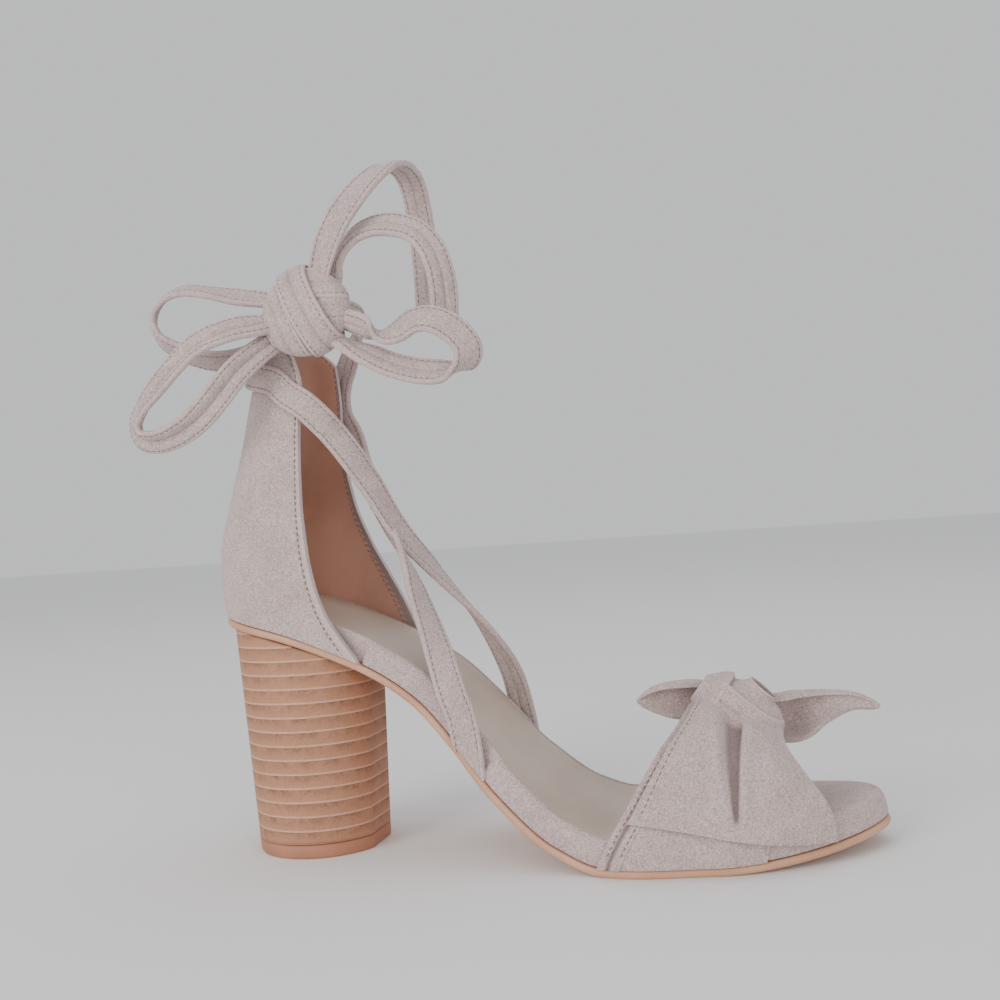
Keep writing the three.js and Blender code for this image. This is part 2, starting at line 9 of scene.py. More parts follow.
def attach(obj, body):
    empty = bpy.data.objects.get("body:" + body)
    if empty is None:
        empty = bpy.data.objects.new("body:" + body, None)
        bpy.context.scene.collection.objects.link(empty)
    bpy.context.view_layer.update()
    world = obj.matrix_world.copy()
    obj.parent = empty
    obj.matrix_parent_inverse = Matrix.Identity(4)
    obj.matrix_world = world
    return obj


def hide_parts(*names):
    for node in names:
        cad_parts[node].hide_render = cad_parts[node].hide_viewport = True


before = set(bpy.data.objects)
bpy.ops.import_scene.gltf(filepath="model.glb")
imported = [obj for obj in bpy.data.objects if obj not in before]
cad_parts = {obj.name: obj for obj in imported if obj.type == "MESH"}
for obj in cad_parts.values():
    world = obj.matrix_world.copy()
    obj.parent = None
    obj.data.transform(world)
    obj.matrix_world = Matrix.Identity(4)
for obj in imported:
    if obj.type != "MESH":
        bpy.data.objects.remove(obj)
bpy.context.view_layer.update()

# Outsole: a thin sheet of tan sole leather with a waxed edge, cut to the plan of the last and
# cemented on from below. It lies flat on the floor under the ball and runs up to the heel seat.
# Lengths are millimetres from the middle of the shoe, and metres() sets them in the model.
SHOE_LONG, BALL_WIDE, SEAT_WIDE, SEAT_UP = 230.0, 79.0, 52.6, 86.0
SEAT_FROM, SEAT_ROUND, TOE_ROUND, TOE_SWING, TOE_SPRING = 2.0, 25.5, 52.5, 5.5, 6.3
OUTSOLE_THICK, BOARD_THICK, AIR = 2.6, 9.0, 0.3
ASIDE = 0.9
HEEL_AXIS = -82.5
LAST_COLUMNS = ("along", "near", "far", "ball", "rise")
LAST = (
    (0.0, 0.5, 0.5, 0.0, 1.0), (0.12, 0.5, 0.5, 0.0, 0.924), (0.237, 0.46, 0.47, 0.0, 0.802),
    (0.289, 0.452, 0.45, 0.0, 0.73), (0.346, 0.464, 0.442, 0.0, 0.623),
    (0.402, 0.478, 0.453, 0.1, 0.462), (0.467, 0.491, 0.472, 0.35, 0.25),
    (0.554, 0.496, 0.479, 0.7, 0.062), (0.624, 0.5, 0.495, 0.94, 0.0),
    (0.663, 0.5, 0.5, 1.0, 0.0), (0.772, 0.4544, 0.4848, 1.0, 0.0), (1.0, 0.4, 0.4, 1.0, 0.0),
)


def mix(a, b, share):
    return a + (b - a) * share


def ease(low, high, value):
    t = min(1.0, max(0.0, (value - low) / (high - low)))
    return t * t * (3 - 2 * t)


def read_table(rows, column, place):
    """Smooth value of one column of a table whose first column is the place."""
    last = len(rows) - 1

    def pitch(i):
        return (rows[i + 1][column] - rows[i][column]) / (rows[i + 1][0] - rows[i][0])

    def slope(i):
        if i in (0, last):
            return pitch(min(i, last - 1))
        before, after = pitch(i - 1), pitch(i)
        return 2 * before * after / (before + after) if before * after > 0 else 0.0

    i = next((k for k, row in enumerate(rows) if row[0] >= place), last)
    i = min(max(i - 1, 0), last - 1)
    span = rows[i + 1][0] - rows[i][0]
    t = min(1.0, max(0.0, (place - rows[i][0]) / span))
    bend = t * (1 - t) * span * ((1 - t) * slope(i) - t * slope(i + 1))
    return mix(rows[i][column], rows[i + 1][column], t * t * (3 - 2 * t)) + bend


def last_at(column, share):
    return read_table(LAST, LAST_COLUMNS.index(column), share)


def metres(p):
    return Vector((p[0], p[1] - ASIDE, p[2])) / 1000


def share_of(x):
    return x / SHOE_LONG + 0.5


SEAT_END = (SEAT_FROM + SEAT_ROUND) / SHOE_LONG
TOE_START = 1 - TOE_ROUND / SHOE_LONG
BACK_ENDS, TOE_BEGINS = 0.18, 0.8  # places on the plan's edge between its straight and round parts
STEP = 0.004  # how far apart the slope of a line is read


def sole_half(share, side):
    """Half the width of the sole on one side: -1 is the outer side, 1 the inner."""
    def local(place):
        wide = mix(SEAT_WIDE, BALL_WIDE, last_at("ball", place))
        return wide * last_at("near", place), wide * last_at("far", place)

    if share < SEAT_END:
        u = (SEAT_END - share) / (SEAT_END - SEAT_FROM / SHOE_LONG)
        return SEAT_WIDE / 2 * math.sqrt(max(0.0, 1 - u * u))
    if share > TOE_START:
        u = min(1.0, (share - TOE_START) / (1 - TOE_START))
        near, far = local(TOE_START)
        tip = max(0.0, 1 - u ** 1.6) ** 0.56
        return (near + far) / 2 * tip + side * mix((far - near) / 2, TOE_SWING, u)
    return local(share)[0 if side < 0 else 1]


def sole_line(share):
    spring = max(0.0, (share - TOE_START) / (1 - TOE_START)) ** 1.6
    rise = OUTSOLE_THICK + (SEAT_UP - OUTSOLE_THICK) * last_at("rise", share)
    return Vector(((share - 0.5) * SHOE_LONG, 0.0, rise + TOE_SPRING * spring))


def sole_run(share):
    return (sole_line(share + STEP) - sole_line(share - STEP)).normalized()


def on_sole(share, y, up):
    run = sole_run(share)
    return sole_line(share) + Vector((-run.z * up, y, run.x * up))


def sole_height(x, up):
    return sole_line(share_of(x)).z + up / sole_run(share_of(x)).x


def plan_edge(t, side):
    """The edge of the sole's plan at t, from the middle of the back to the tip of the toe."""
    if t < BACK_ENDS:
        share = mix(SEAT_END, SEAT_FROM / SHOE_LONG, math.cos(t / BACK_ENDS * math.pi / 2))
    elif t > TOE_BEGINS:
        round_part = min(1.0, (t - TOE_BEGINS) / (1 - TOE_BEGINS))
        share = mix(TOE_START, 1.0, math.sin(round_part * math.pi / 2))
    else:
        share = mix(SEAT_END, TOE_START, (t - BACK_ENDS) / (TOE_BEGINS - BACK_ENDS))
    return Vector(((share - 0.5) * SHOE_LONG, side * sole_half(share, side), 0.0))


def rim_point(t, side, inset, up):
    """A point inset from the plan's edge, up from the line of the sole."""
    ahead, behind = plan_edge(min(1.0, t + STEP), side), plan_edge(max(0.0, t - STEP), side)
    run = (ahead - behind).normalized()
    inward = Vector((run.y, -run.x, 0.0)) * side
    p = plan_edge(t, side) + inward * inset
    return on_sole(share_of(p.x), p.y, up)


def new_piece(name, bm, materials, smooth=True):
    mesh = bpy.data.meshes.new(name)
    for face in bm.faces:
        face.smooth = smooth
    bm.to_mesh(mesh)
    bm.free()
    piece = bpy.data.objects.new(name, mesh)
    bpy.context.scene.collection.objects.link(piece)
    for material in materials:
        mesh.materials.append(material)
    return piece


def grid_skin(across, along, place, wrap=False, mark=None):
    """A grid bent over place(u, v), with u and v from 0 to 1, kept in a UV map. wrap joins u's ends.
    mark(u, v) is kept as the attribute "mark", for the material."""
    bm = bmesh.new()
    bmesh.ops.create_grid(bm, x_segments=across, y_segments=along, size=0.5)
    uv = bm.loops.layers.uv.new("surface")
    for face in bm.faces:
        for loop in face.loops:
            loop[uv].uv = (loop.vert.co.x + 0.5, loop.vert.co.y + 0.5)
    marks = bm.verts.layers.float.new("mark") if mark else None
    for vert in bm.verts:
        u, v = vert.co.x + 0.5, vert.co.y + 0.5
        if mark:
            vert[marks] = mark(u, v)
        vert.co = metres(place(u, v))
    if wrap:
        bmesh.ops.remove_doubles(bm, verts=bm.verts, dist=2e-6)
        bmesh.ops.holes_fill(bm, edges=[e for e in bm.edges if e.is_boundary], sides=0)
        bmesh.ops.recalc_face_normals(bm, faces=bm.faces)
    return bm


def sole_layer(rim, crown=lambda t: 0.0, first=0.0, last=1.0, along=150, tuck=None):
    """A plate along the sole. rim lists (inset, up) round its edge, from its underside to its top."""
    columns = 10
    ring = [("near", k) for k in range(len(rim))] + [("top", k / columns) for k in range(1, columns)]
    ring += [("far", k) for k in reversed(range(len(rim)))]
    ring += [("under", k / columns) for k in range(1, columns)] + [("near", 0)]

    def place(u, v):
        t = mix(first, last, v)

        def edge(side, k):
            inset, up = rim[k](t) if callable(rim[k]) else rim[k]
            drawn_in = tuck(t, side) * max(0.0, 1 - inset / RIM) if tuck else 0.0
            return rim_point(t, side, inset + drawn_in, up)

        kind, k = ring[round(u * (len(ring) - 1))]
        if kind in ("near", "far"):
            return edge(-1 if kind == "near" else 1, k)
        if kind == "top":
            p = edge(-1, len(rim) - 1).lerp(edge(1, len(rim) - 1), k)
            p.z += crown(t) * (1 - (2 * k - 1) ** 2)
            return p
        return edge(1, 0).lerp(edge(-1, 0), k)

    return grid_skin(len(ring), along, place, wrap=True)


def node_group(name, inputs, outputs):
    """An empty shader group with its named sockets, and its input and output nodes."""
    group = bpy.data.node_groups.new(name, "ShaderNodeTree")
    for label, kind, value in inputs:
        socket = group.interface.new_socket(label, in_out="INPUT", socket_type=kind)
        socket.default_value = value
    for label, kind in outputs:
        group.interface.new_socket(label, in_out="OUTPUT", socket_type=kind)
    return group, group.nodes.new("NodeGroupInput"), group.nodes.new("NodeGroupOutput")


def plug(tree, socket, value):
    """Link the socket to a value that is a socket too, or set it."""
    if isinstance(value, bpy.types.NodeSocket):
        tree.links.new(value, socket)
    else:
        socket.default_value = value


def add_node(tree, kind, settings=(), **values):
    """A node with its settings and socket values. i0, i6 and so on name a socket by its number."""
    node = tree.nodes.new(kind)
    for key, value in dict(settings).items():
        setattr(node, key, value)
    for key, value in values.items():
        name = int(key[1:]) if key[1:].isdigit() else key.replace("_", " ")
        plug(tree, node.inputs[name], value)
    return node


def calculate(tree, operation, *values):
    """The result of one operation on numbers or sockets."""
    node = add_node(tree, "ShaderNodeMath", {"operation": operation})
    for socket, value in zip(node.inputs, values):
        plug(tree, socket, value)
    return node.outputs[0]


def new_material(name, **constants):
    material = bpy.data.materials.new(name)
    material.use_nodes = True
    shader = material.node_tree.nodes["Principled BSDF"]
    for key, value in constants.items():
        shader.inputs[key.replace("_", " ")].default_value = value
    place = material.node_tree.nodes.new("ShaderNodeTexCoord").outputs["Object"]
    return material, material.node_tree, shader, place


# Grain group: two layers of noise on the piece's own coordinates, one broad and one fine.
grain, grain_in, grain_out = node_group(
    "grain",
    [("Place", "NodeSocketVector", (0, 0, 0)), ("Broad Scale", "NodeSocketFloat", 60.0),
     ("Fine Scale", "NodeSocketFloat", 900.0)],
    [("Broad", "NodeSocketFloat"), ("Fine", "NodeSocketFloat")],
)
for label in ("Broad", "Fine"):
    speck = add_node(grain, "ShaderNodeTexNoise", Detail=4.0, Roughness=0.6,
                     Vector=grain_in.outputs["Place"], Scale=grain_in.outputs[f"{label} Scale"])
    grain.links.new(speck.outputs["Fac"], grain_out.inputs[label])


def place_group(tree, group, **values):
    return add_node(tree, "ShaderNodeGroup", {"node_tree": group}, **values)


def blend_colour(tree, factor, a, b):
    """Colour a changed towards b by factor."""
    return add_node(tree, "ShaderNodeMix", {"data_type": "RGBA"}, i0=factor, i6=a, i7=b).outputs[2]


def stretch(tree, value, low, high, to_low=0.0, to_high=1.0):
    return add_node(tree, "ShaderNodeMapRange", Value=value, From_Min=low, From_Max=high,
                    To_Min=to_low, To_Max=to_high).outputs["Result"]


def raise_surface(tree, shader, strength, distance, height):
    bump = add_node(tree, "ShaderNodeBump", Strength=strength, Distance=distance, Height=height)
    tree.links.new(bump.outputs["Normal"], shader.inputs["Normal"])


def leather_material(name, light, dark, roughness, relief, broad=45.0, fine=1400.0):
    material, tree, shader, place = new_material(name, Roughness=roughness)
    marks = place_group(tree, grain, Place=place, Broad_Scale=broad, Fine_Scale=fine)
    colour = blend_colour(tree, stretch(tree, marks.outputs["Broad"], 0.35, 0.68), light, dark)
    shade = stretch(tree, marks.outputs["Fine"], 0.3, 0.7, 0.0, 0.22)
    colour = blend_colour(tree, shade, colour, dark)
    tree.links.new(colour, shader.inputs["Base Color"])
    raise_surface(tree, shader, 0.5, relief, marks.outputs["Fine"])
    return material


sole_leather = leather_material(
    "sole leather", (0.62, 0.36, 0.23, 1), (0.5, 0.26, 0.155, 1), 0.5, 6e-5)
outsole = new_piece("outsole_sheet", sole_layer([
    (1.4, -OUTSOLE_THICK), (0.5, -OUTSOLE_THICK + 0.1), (0.1, -OUTSOLE_THICK + 0.6),
    (0.0, -OUTSOLE_THICK / 2), (0.1, -0.5), (0.4, -0.05), (1.2, 0.0),
]), [sole_leather])
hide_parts("outsole")
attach(outsole, "root")


# Heel: a light core wrapped in stacked leather, turned round and slightly flared to the seat, with
# a narrow flat breast. Each layer shows as a dark band with a pale, waxed line under it.
HEEL_BASE, HEEL_HEAD, HEEL_RAKE, BREAST_WIDE, LIFT_THICK = 47.0, 53.6, 1.6, 17.0, 4.8
LAYER = 4.95
STACK_HEAD = 0.92  # share of the seat's rise at which the heel's flare ends


def heel_point(turn, height):
    radius = mix(HEEL_BASE, HEEL_HEAD, height / SEAT_UP) / 2
    breast = math.sqrt(radius ** 2 - (BREAST_WIDE / 2) ** 2)
    middle = HEEL_AXIS - HEEL_RAKE * height / SEAT_UP
    return middle + min(breast, radius * math.cos(turn)), radius * math.sin(turn)


def stack_skin(u, v):
    x, y = heel_point(u * 2 * math.pi, mix(LIFT_THICK, SEAT_UP * STACK_HEAD, v))
    return x, y, mix(LIFT_THICK + AIR, sole_height(x, -(OUTSOLE_THICK + AIR)), v)


STACK_LIGHT, STACK_DARK = (0.44, 0.208, 0.12, 1), (0.36, 0.158, 0.084, 1)
STACK_FLECK, STACK_DUSK, STACK_WAX = (0.53, 0.28, 0.172, 1), (0.205, 0.098, 0.054, 1), (0.66, 0.41, 0.29, 1)
stack_material, tree, shader, place = new_material("stacked leather", Roughness=0.62)
height = add_node(tree, "ShaderNodeSeparateXYZ", Vector=place).outputs["Z"]
wander = place_group(tree, grain, Place=place, Broad_Scale=30.0, Fine_Scale=240.0).outputs
speck = place_group(tree, grain, Place=place, Broad_Scale=700.0, Fine_Scale=1700.0).outputs
level = calculate(tree, "MULTIPLY_ADD", wander["Broad"], LAYER * 0.16e-3, height)
layer = calculate(tree, "FRACT", calculate(tree, "DIVIDE", level, LAYER / 1000))
dusk = calculate(tree, "MULTIPLY", stretch(tree, layer, 0.3, 0.92),
                 stretch(tree, wander["Fine"], 0.34, 0.6, 0.25, 1.0))
dusk = calculate(tree, "MULTIPLY", dusk, stretch(tree, speck["Broad"], 0.36, 0.6, 0.35, 1.0))
pale = calculate(tree, "MULTIPLY", stretch(tree, layer, 0.05, 0.17, 0.85, 0.0),
                 stretch(tree, speck["Broad"], 0.3, 0.55, 0.55, 1.0))
body = blend_colour(tree, stretch(tree, wander["Broad"], 0.3, 0.7), STACK_LIGHT, STACK_DARK)
body = blend_colour(tree, stretch(tree, speck["Fine"], 0.35, 0.68, 0.0, 0.5), body, STACK_FLECK)
body = blend_colour(tree, dusk, body, STACK_DUSK)
body = blend_colour(tree, pale, body, STACK_WAX)
tree.links.new(body, shader.inputs["Base Color"])
raise_surface(tree, shader, 0.5, 0.00012, calculate(tree, "MULTIPLY_ADD", pale, 0.8, speck["Broad"]))

heel_stack = new_piece("heel_stack_body", grid_skin(144, 48, stack_skin, wrap=True), [stack_material])
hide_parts("heel_stack")
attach(heel_stack, "root")


# Top lift: the hard-wearing piece that the heel stands on, smooth and a little redder than the
# stack, nailed and cemented under it with its edge trimmed flush.
LIFT_EDGE = (  # inset, up, and the height at which the heel's flare is read
    (1.0, 0.0, -4.0), (0.35, 0.0, -4.0), (0.08, 0.35, -3.65), (0.0, 1.0, 1.0),
    (0.0, LIFT_THICK - 0.5, LIFT_THICK - 0.5), (0.25, LIFT_THICK - 0.1, LIFT_THICK - 0.1),
    (1.0, LIFT_THICK, LIFT_THICK),
)


def lift_skin(u, v):
    inset, z, flare = LIFT_EDGE[round(v * (len(LIFT_EDGE) - 1))]
    x, y = heel_point(u * 2 * math.pi, flare)
    inward = inset / math.hypot(x - HEEL_AXIS, y)
    return mix(x, HEEL_AXIS, inward), mix(y, 0, inward), z


lift_material = leather_material(
    "top lift", (0.44, 0.2, 0.118, 1), (0.36, 0.157, 0.088, 1), 0.6, 4e-5, 60, 900)
top_lift = new_piece("top_lift_disc", grid_skin(144, 7, lift_skin, wrap=True), [lift_material])
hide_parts("top_lift")
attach(top_lift, "root")


# Insole board: a thin padded board wrapped in the suede of the upper, its edge rounded. It is laid
# on the outsole, and cut in where the heel cup, the strap feet and the toe band pass down its side.
RIM, RECESS, SOCK_STOP = 3.2, 1.5, 0.7
CUP_WALL, BAND_WALL, BAND_PROUD, STRAP_THICK, STRAP_WIDE = 2.6, 2.2, 0.8, 2.4, 10.0

nap, nap_in, nap_out = node_group(
    "suede nap",
    [("Place", "NodeSocketVector", (0, 0, 0)), ("Colour", "NodeSocketColor", (0.5, 0.42, 0.41, 1)),
     ("Brushed", "NodeSocketColor", (0.4, 0.33, 0.32, 1))],
    [("Colour", "NodeSocketColor"), ("Height", "NodeSocketFloat")],
)
swirl = add_node(nap, "ShaderNodeTexNoise", Vector=nap_in.outputs["Place"], Scale=70.0, Detail=4.0,
                 Roughness=0.65, Distortion=0.8)
fleck = add_node(nap, "ShaderNodeTexNoise", Vector=nap_in.outputs["Place"], Scale=1150.0, Detail=4.0,
                 Roughness=0.75)
fibre = add_node(nap, "ShaderNodeTexNoise", Vector=nap_in.outputs["Place"], Scale=2100.0, Detail=3.0)
tone = blend_colour(nap, stretch(nap, swirl.outputs["Fac"], 0.36, 0.64, 0.0, 0.6),
                    nap_in.outputs["Colour"], nap_in.outputs["Brushed"])
tone = blend_colour(nap, stretch(nap, fleck.outputs["Fac"], 0.46, 0.58, 0.0, 0.85), tone,
                    nap_in.outputs["Brushed"])
tone = blend_colour(nap, stretch(nap, fibre.outputs["Fac"], 0.5, 0.6, 0.0, 0.55), tone,
                    (0.74, 0.63, 0.61, 1))
nap.links.new(tone, nap_out.inputs["Colour"])
fuzz = calculate(nap, "MULTIPLY_ADD", fibre.outputs["Fac"], 0.5, fleck.outputs["Fac"])
nap.links.new(fuzz, nap_out.inputs["Height"])


def near_line(tree, value, middle, reach, soft):
    """1 where the value is within reach of the middle, fading to 0 over soft."""
    off = calculate(tree, "ABSOLUTE", calculate(tree, "SUBTRACT", value, middle))
    return stretch(tree, off, reach, reach + soft, 1.0, 0.0)


def surface_place(tree):
    """The two coordinates of the piece's own UV map: across and along."""
    node = add_node(tree, "ShaderNodeSeparateXYZ",
                    Vector=add_node(tree, "ShaderNodeUVMap", {"uv_map": "surface"}).outputs[0])
    return node.outputs["X"], node.outputs["Y"]


SUEDE, SUEDE_BRUSHED = (0.53, 0.425, 0.4, 1), (0.345, 0.265, 0.25, 1)
# A paler tone for edges, on the wraps a painted highlight, and a dark tone that is painted shade.
SUEDE_PALE_EDGE, SUEDE_PAINTED_SHADE = (0.7, 0.575, 0.55, 1), (0.2, 0.15, 0.145, 1)


def suede_material(name, pale_edges=None, painted_shade=None):
    """Suede. Two optional masks change its colour: one makes edges paler, which on the wraps is a painted
    highlight, and one darkens seams, grooves and hollows with painted shade.
    """
    material, tree, shader, place = new_material(
        name, Roughness=0.95, Sheen_Weight=0.3, Sheen_Roughness=0.5,
        Sheen_Tint=(0.95, 0.88, 0.87, 1), Specular_IOR_Level=0.2)
    fur = place_group(tree, nap, Place=place, Colour=SUEDE, Brushed=SUEDE_BRUSHED)
    tone = fur.outputs["Colour"]
    if pale_edges:
        tone = blend_colour(tree, pale_edges(tree), tone, SUEDE_PALE_EDGE)
    if painted_shade:
        tone = blend_colour(tree, painted_shade(tree), tone, SUEDE_PAINTED_SHADE)
    tree.links.new(tone, shader.inputs["Base Color"])
    raise_surface(tree, shader, 0.9, 0.00022, fur.outputs["Height"])
    return material


suede = suede_material("mushroom suede")


def beside(t, side, first, last, soft=0.006):
    """1 where the edge at t lies between two places along the shoe, 0 outside them."""
    share = share_of(plan_edge(t, side).x)
    return ease(first - soft, first + soft, share) * (1 - ease(last - soft, last + soft, share))


TUCKS = {  # side: where the cup ends, the strap's foot is, and the band starts and ends
    -1: (0.262, 0.425, 0.635, 0.815),
    1: (0.292, 0.45, 0.69, 0.815),
}


def board_tuck(t, side):
    cup_end, foot, band_rear, band_front = TUCKS[side]
    cup = beside(t, side, -1.0, cup_end, 0.004) * (CUP_WALL + 0.5)
    strap = beside(t, side, foot - 0.016, foot + 0.016, 0.003) * 2.2
    band = beside(t, side, band_rear, band_front, 0.008) * (BAND_WALL + 0.6 - BAND_PROUD)
    return max(cup, strap, band)


def bed(t):
    return RIM, BOARD_THICK - RECESS * (1 - ease(SOCK_STOP + 0.012, SOCK_STOP + 0.03, t))


board = new_piece("insole_board_wrap", sole_layer([
    (1.2, AIR), (0.35, 0.5), (0.05, 1.2), (0.0, 2.4), (0.0, 4.4), (0.12, 6.0), (0.5, 7.3),
    (1.15, 8.25), (1.9, 8.8), (2.5, 8.95), (2.95, 8.85), bed,
], crown=lambda t: 0.35 * ease(0.86, 0.92, t), tuck=board_tuck, along=220), [suede])
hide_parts("insole_board")
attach(board, "root")


# Insole sock: smooth taupe lining leather laid in the board's bed, under the foot, up to the toe
# band. It is skived thin at its edge and creased a little where the arch bends.
SOCK_THICK = 1.0
sock_material = leather_material(
    "sock leather", (0.56, 0.455, 0.375, 1), (0.46, 0.36, 0.285, 1), 0.42, 5e-5, 26, 1100)
SOCK_UP = BOARD_THICK - RECESS + AIR


def plan_place(share):
    """The place t of a share of the length, on the straight stretch between the round ends."""
    return mix(BACK_ENDS, TOE_BEGINS, (share - SEAT_END) / (TOE_START - SEAT_END))


sock = new_piece("insole_sock_lining", sole_layer([
    (RIM + 0.35, SOCK_UP), (RIM + 0.3, SOCK_UP + 0.3), (RIM + 0.45, SOCK_UP + 0.75),
    (RIM + 0.8, SOCK_UP + 0.95), (RIM + 1.6, SOCK_UP + SOCK_THICK),
], crown=lambda t: 0.25, first=0.004, last=plan_place(SOCK_STOP), along=170), [sock_material])
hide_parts("insole_sock")
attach(sock, "root")


# Heel cup: suede outside, tan lining inside, with a stiffener between them, lasted down over the
# board's side. Its folded edge is top-stitched, and its front edges sweep forward to the seat.
CUP_TOP, CUP_DROP = 188.0, 12.0
CUP = (  # rise, back, half, near front, far front
    (0.36, 0.012, 0.995, 0.262, 0.292), (0.45, 0.006, 0.998, 0.214, 0.262),
    (0.51, 0.0, 0.982, 0.197, 0.238), (0.575, 0.001, 0.95, 0.187, 0.212),
    (0.665, 0.02, 0.9, 0.181, 0.187), (0.77, 0.046, 0.825, 0.18, 0.177),
    (0.88, 0.071, 0.76, 0.185, 0.18), (0.94, 0.088, 0.715, 0.172, 0.178),
    (1.0, 0.1, 0.67, 0.15, 0.15),
)
CUP_ROUND = 0.62  # share of each side's turn that the round back takes


def cup_plan(turn, z, inset):
    rise = z / CUP_TOP
    back = (read_table(CUP, 1, rise) - 0.5) * SHOE_LONG + inset
    front = (read_table(CUP, 3 if turn < 0 else 4, rise) - 0.5) * SHOE_LONG
    half = SEAT_WIDE / 2 * read_table(CUP, 2, rise) - inset
    round_end = min(half + inset, 0.7 * (front - back + inset)) - inset
    lap = min(abs(turn), CUP_ROUND) / CUP_ROUND * math.pi / 2
    if abs(turn) < CUP_ROUND:
        x = back + round_end * (1 - math.cos(lap))
    else:
        x = mix(back + round_end, front, (abs(turn) - CUP_ROUND) / (1 - CUP_ROUND))
    return Vector((x, math.copysign(half * math.sin(lap), turn), z))


def cup_point(turn, height, inset=0.0):
    foot = SEAT_UP
    for _ in range(6):
        foot = sole_height(cup_plan(turn, foot, inset).x, AIR)
    peak = CUP_TOP - CUP_DROP * abs(turn) ** 2.5
    return cup_plan(turn, mix(foot, peak, height), inset)


def cup_skin(u, v):
    turn, height = 1 - 2 * u, v
    p = cup_point(turn, height)
    soft = noise.noise(Vector((turn * 2.2, height * 2.6, 4.0))) * 0.5
    edge = min(1.0, 8 * height, 8 * (1 - height)) * min(1.0, 8 * (1 - abs(turn)))
    out = cup_point(turn, height, -1.0) - cup_point(turn, height, 1.0)
    return p + out.normalized() * (soft * edge - 0.1)


# The thread is darker than the suede: partly its own tone, partly painted shade of the stitches.
thread, tree, shader, place = new_material("thread", Base_Color=(0.2, 0.15, 0.145, 1), Roughness=0.8)
twist = add_node(tree, "ShaderNodeTexNoise", Vector=place, Scale=2500.0)
raise_surface(tree, shader, 0.4, 0.0001, twist.outputs["Fac"])

STITCH_LONG, STITCH_PITCH, STITCH_THICK = 1.5, 2.15, 0.46


def stitch_maker():
    """Geometry nodes that lay one stitch, a small capsule, on every point of a seam."""
    tree = bpy.data.node_groups.new("stitches", "GeometryNodeTree")
    tree.interface.new_socket("Geometry", in_out="INPUT", socket_type="NodeSocketGeometry")
    tree.interface.new_socket("Geometry", in_out="OUTPUT", socket_type="NodeSocketGeometry")

    def read(name):
        node = add_node(tree, "GeometryNodeInputNamedAttribute", {"data_type": "FLOAT_VECTOR"}, Name=name)
        return node.outputs["Attribute"]

    along_run = add_node(tree, "FunctionNodeAlignRotationToVector", {"axis": "X"}, Vector=read("run"))
    face_out = add_node(tree, "FunctionNodeAlignRotationToVector", {"axis": "Z", "pivot_axis": "X"},
                        Rotation=along_run.outputs[0], Vector=read("out"))
    capsule = add_node(tree, "GeometryNodeMeshUVSphere", Segments=8, Rings=5, Radius=1.0)
    size = [STITCH_LONG / 2000, STITCH_THICK / 2000, STITCH_THICK / 2300]
    points = tree.nodes.new("NodeGroupInput").outputs[0]
    laid = add_node(tree, "GeometryNodeInstanceOnPoints", Points=points, Scale=size,
                    Instance=capsule.outputs["Mesh"], Rotation=face_out.outputs[0])
    real = add_node(tree, "GeometryNodeRealizeInstances", Geometry=laid.outputs[0])
    coloured = add_node(tree, "GeometryNodeSetMaterial", Geometry=real.outputs[0], Material=thread)
    tree.links.new(coloured.outputs[0], tree.nodes.new("NodeGroupOutput").inputs[0])
    return tree


stitches = stitch_maker()


def sewn_piece(name, rows):
    """One object of stitches. rows holds (points, outward directions) in the shoe's millimetres."""
    bm = bmesh.new()
    run_layer, out_layer = (bm.verts.layers.float_vector.new(key) for key in ("run", "out"))
    for line, normals in rows:
        gone, due = 0.0, STITCH_PITCH / 2
        for a, b, out in zip(line, line[1:], normals):
            step = (b - a).length
            while step > 0 and gone + step >= due:
                point = bm.verts.new(metres(a.lerp(b, (due - gone) / step)))
                point[run_layer], point[out_layer] = (b - a).normalized(), out.normalized()
                due += STITCH_PITCH
            gone += step
    piece = new_piece(name, bm, [thread])
    piece.modifiers.new("stitches", "NODES").node_group = stitches
    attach(piece, "root")
    return piece


FRONT_TO_MIDDLE, FOOT_TO_PEAK = 44.0, 97.0


def cup_edge(tree):
    """Millimetres from the cup's front edges."""
    off = calculate(tree, "PINGPONG", surface_place(tree)[0], 0.5)
    return calculate(tree, "MULTIPLY", off, 2 * FRONT_TO_MIDDLE)


# Paler near the cup's front edges.
def cup_pale_edges(tree):
    return stretch(tree, cup_edge(tree), 1.0, 1.9, 0.35, 0.0)


cup_suede = suede_material("heel cup suede", pale_edges=cup_pale_edges)


def pinked_edge(tree):
    """Where the suede is turned in over the lining, with the teeth of pinking shears, darkened with painted
    shade.
    """
    up = calculate(tree, "MULTIPLY", surface_place(tree)[1], FOOT_TO_PEAK)
    edge = calculate(tree, "SUBTRACT", cup_edge(tree), calculate(tree, "PINGPONG", up, 1.1))
    return stretch(tree, edge, 0.9, 1.1, 1.0, 0.0)


def give_wall(piece, thick, edge, offset=-1, lined=False):
    """Make a skin a wall with rounded edges, in millimetres. lined: the second material is inside."""
    wall = piece.modifiers.new("wall", "SOLIDIFY")
    wall.thickness, wall.offset, wall.use_even_offset = thick / 1000, offset, lined
    if lined:
        wall.material_offset, wall.material_offset_rim = 1, 0
    rounded = piece.modifiers.new("rounded edge", "BEVEL")
    rounded.width, rounded.segments, rounded.limit_method = edge / 1000, 3, "ANGLE"


lining = leather_material(
    "tan lining", (0.55, 0.3, 0.215, 1), (0.42, 0.215, 0.15, 1), 0.5, 5e-5, 30, 1300)
cup_lining = lining.copy()
cup_lining.name = "tan lining with its pinked edge"
tree = cup_lining.node_tree
tone = tree.nodes["Principled BSDF"].inputs["Base Color"]
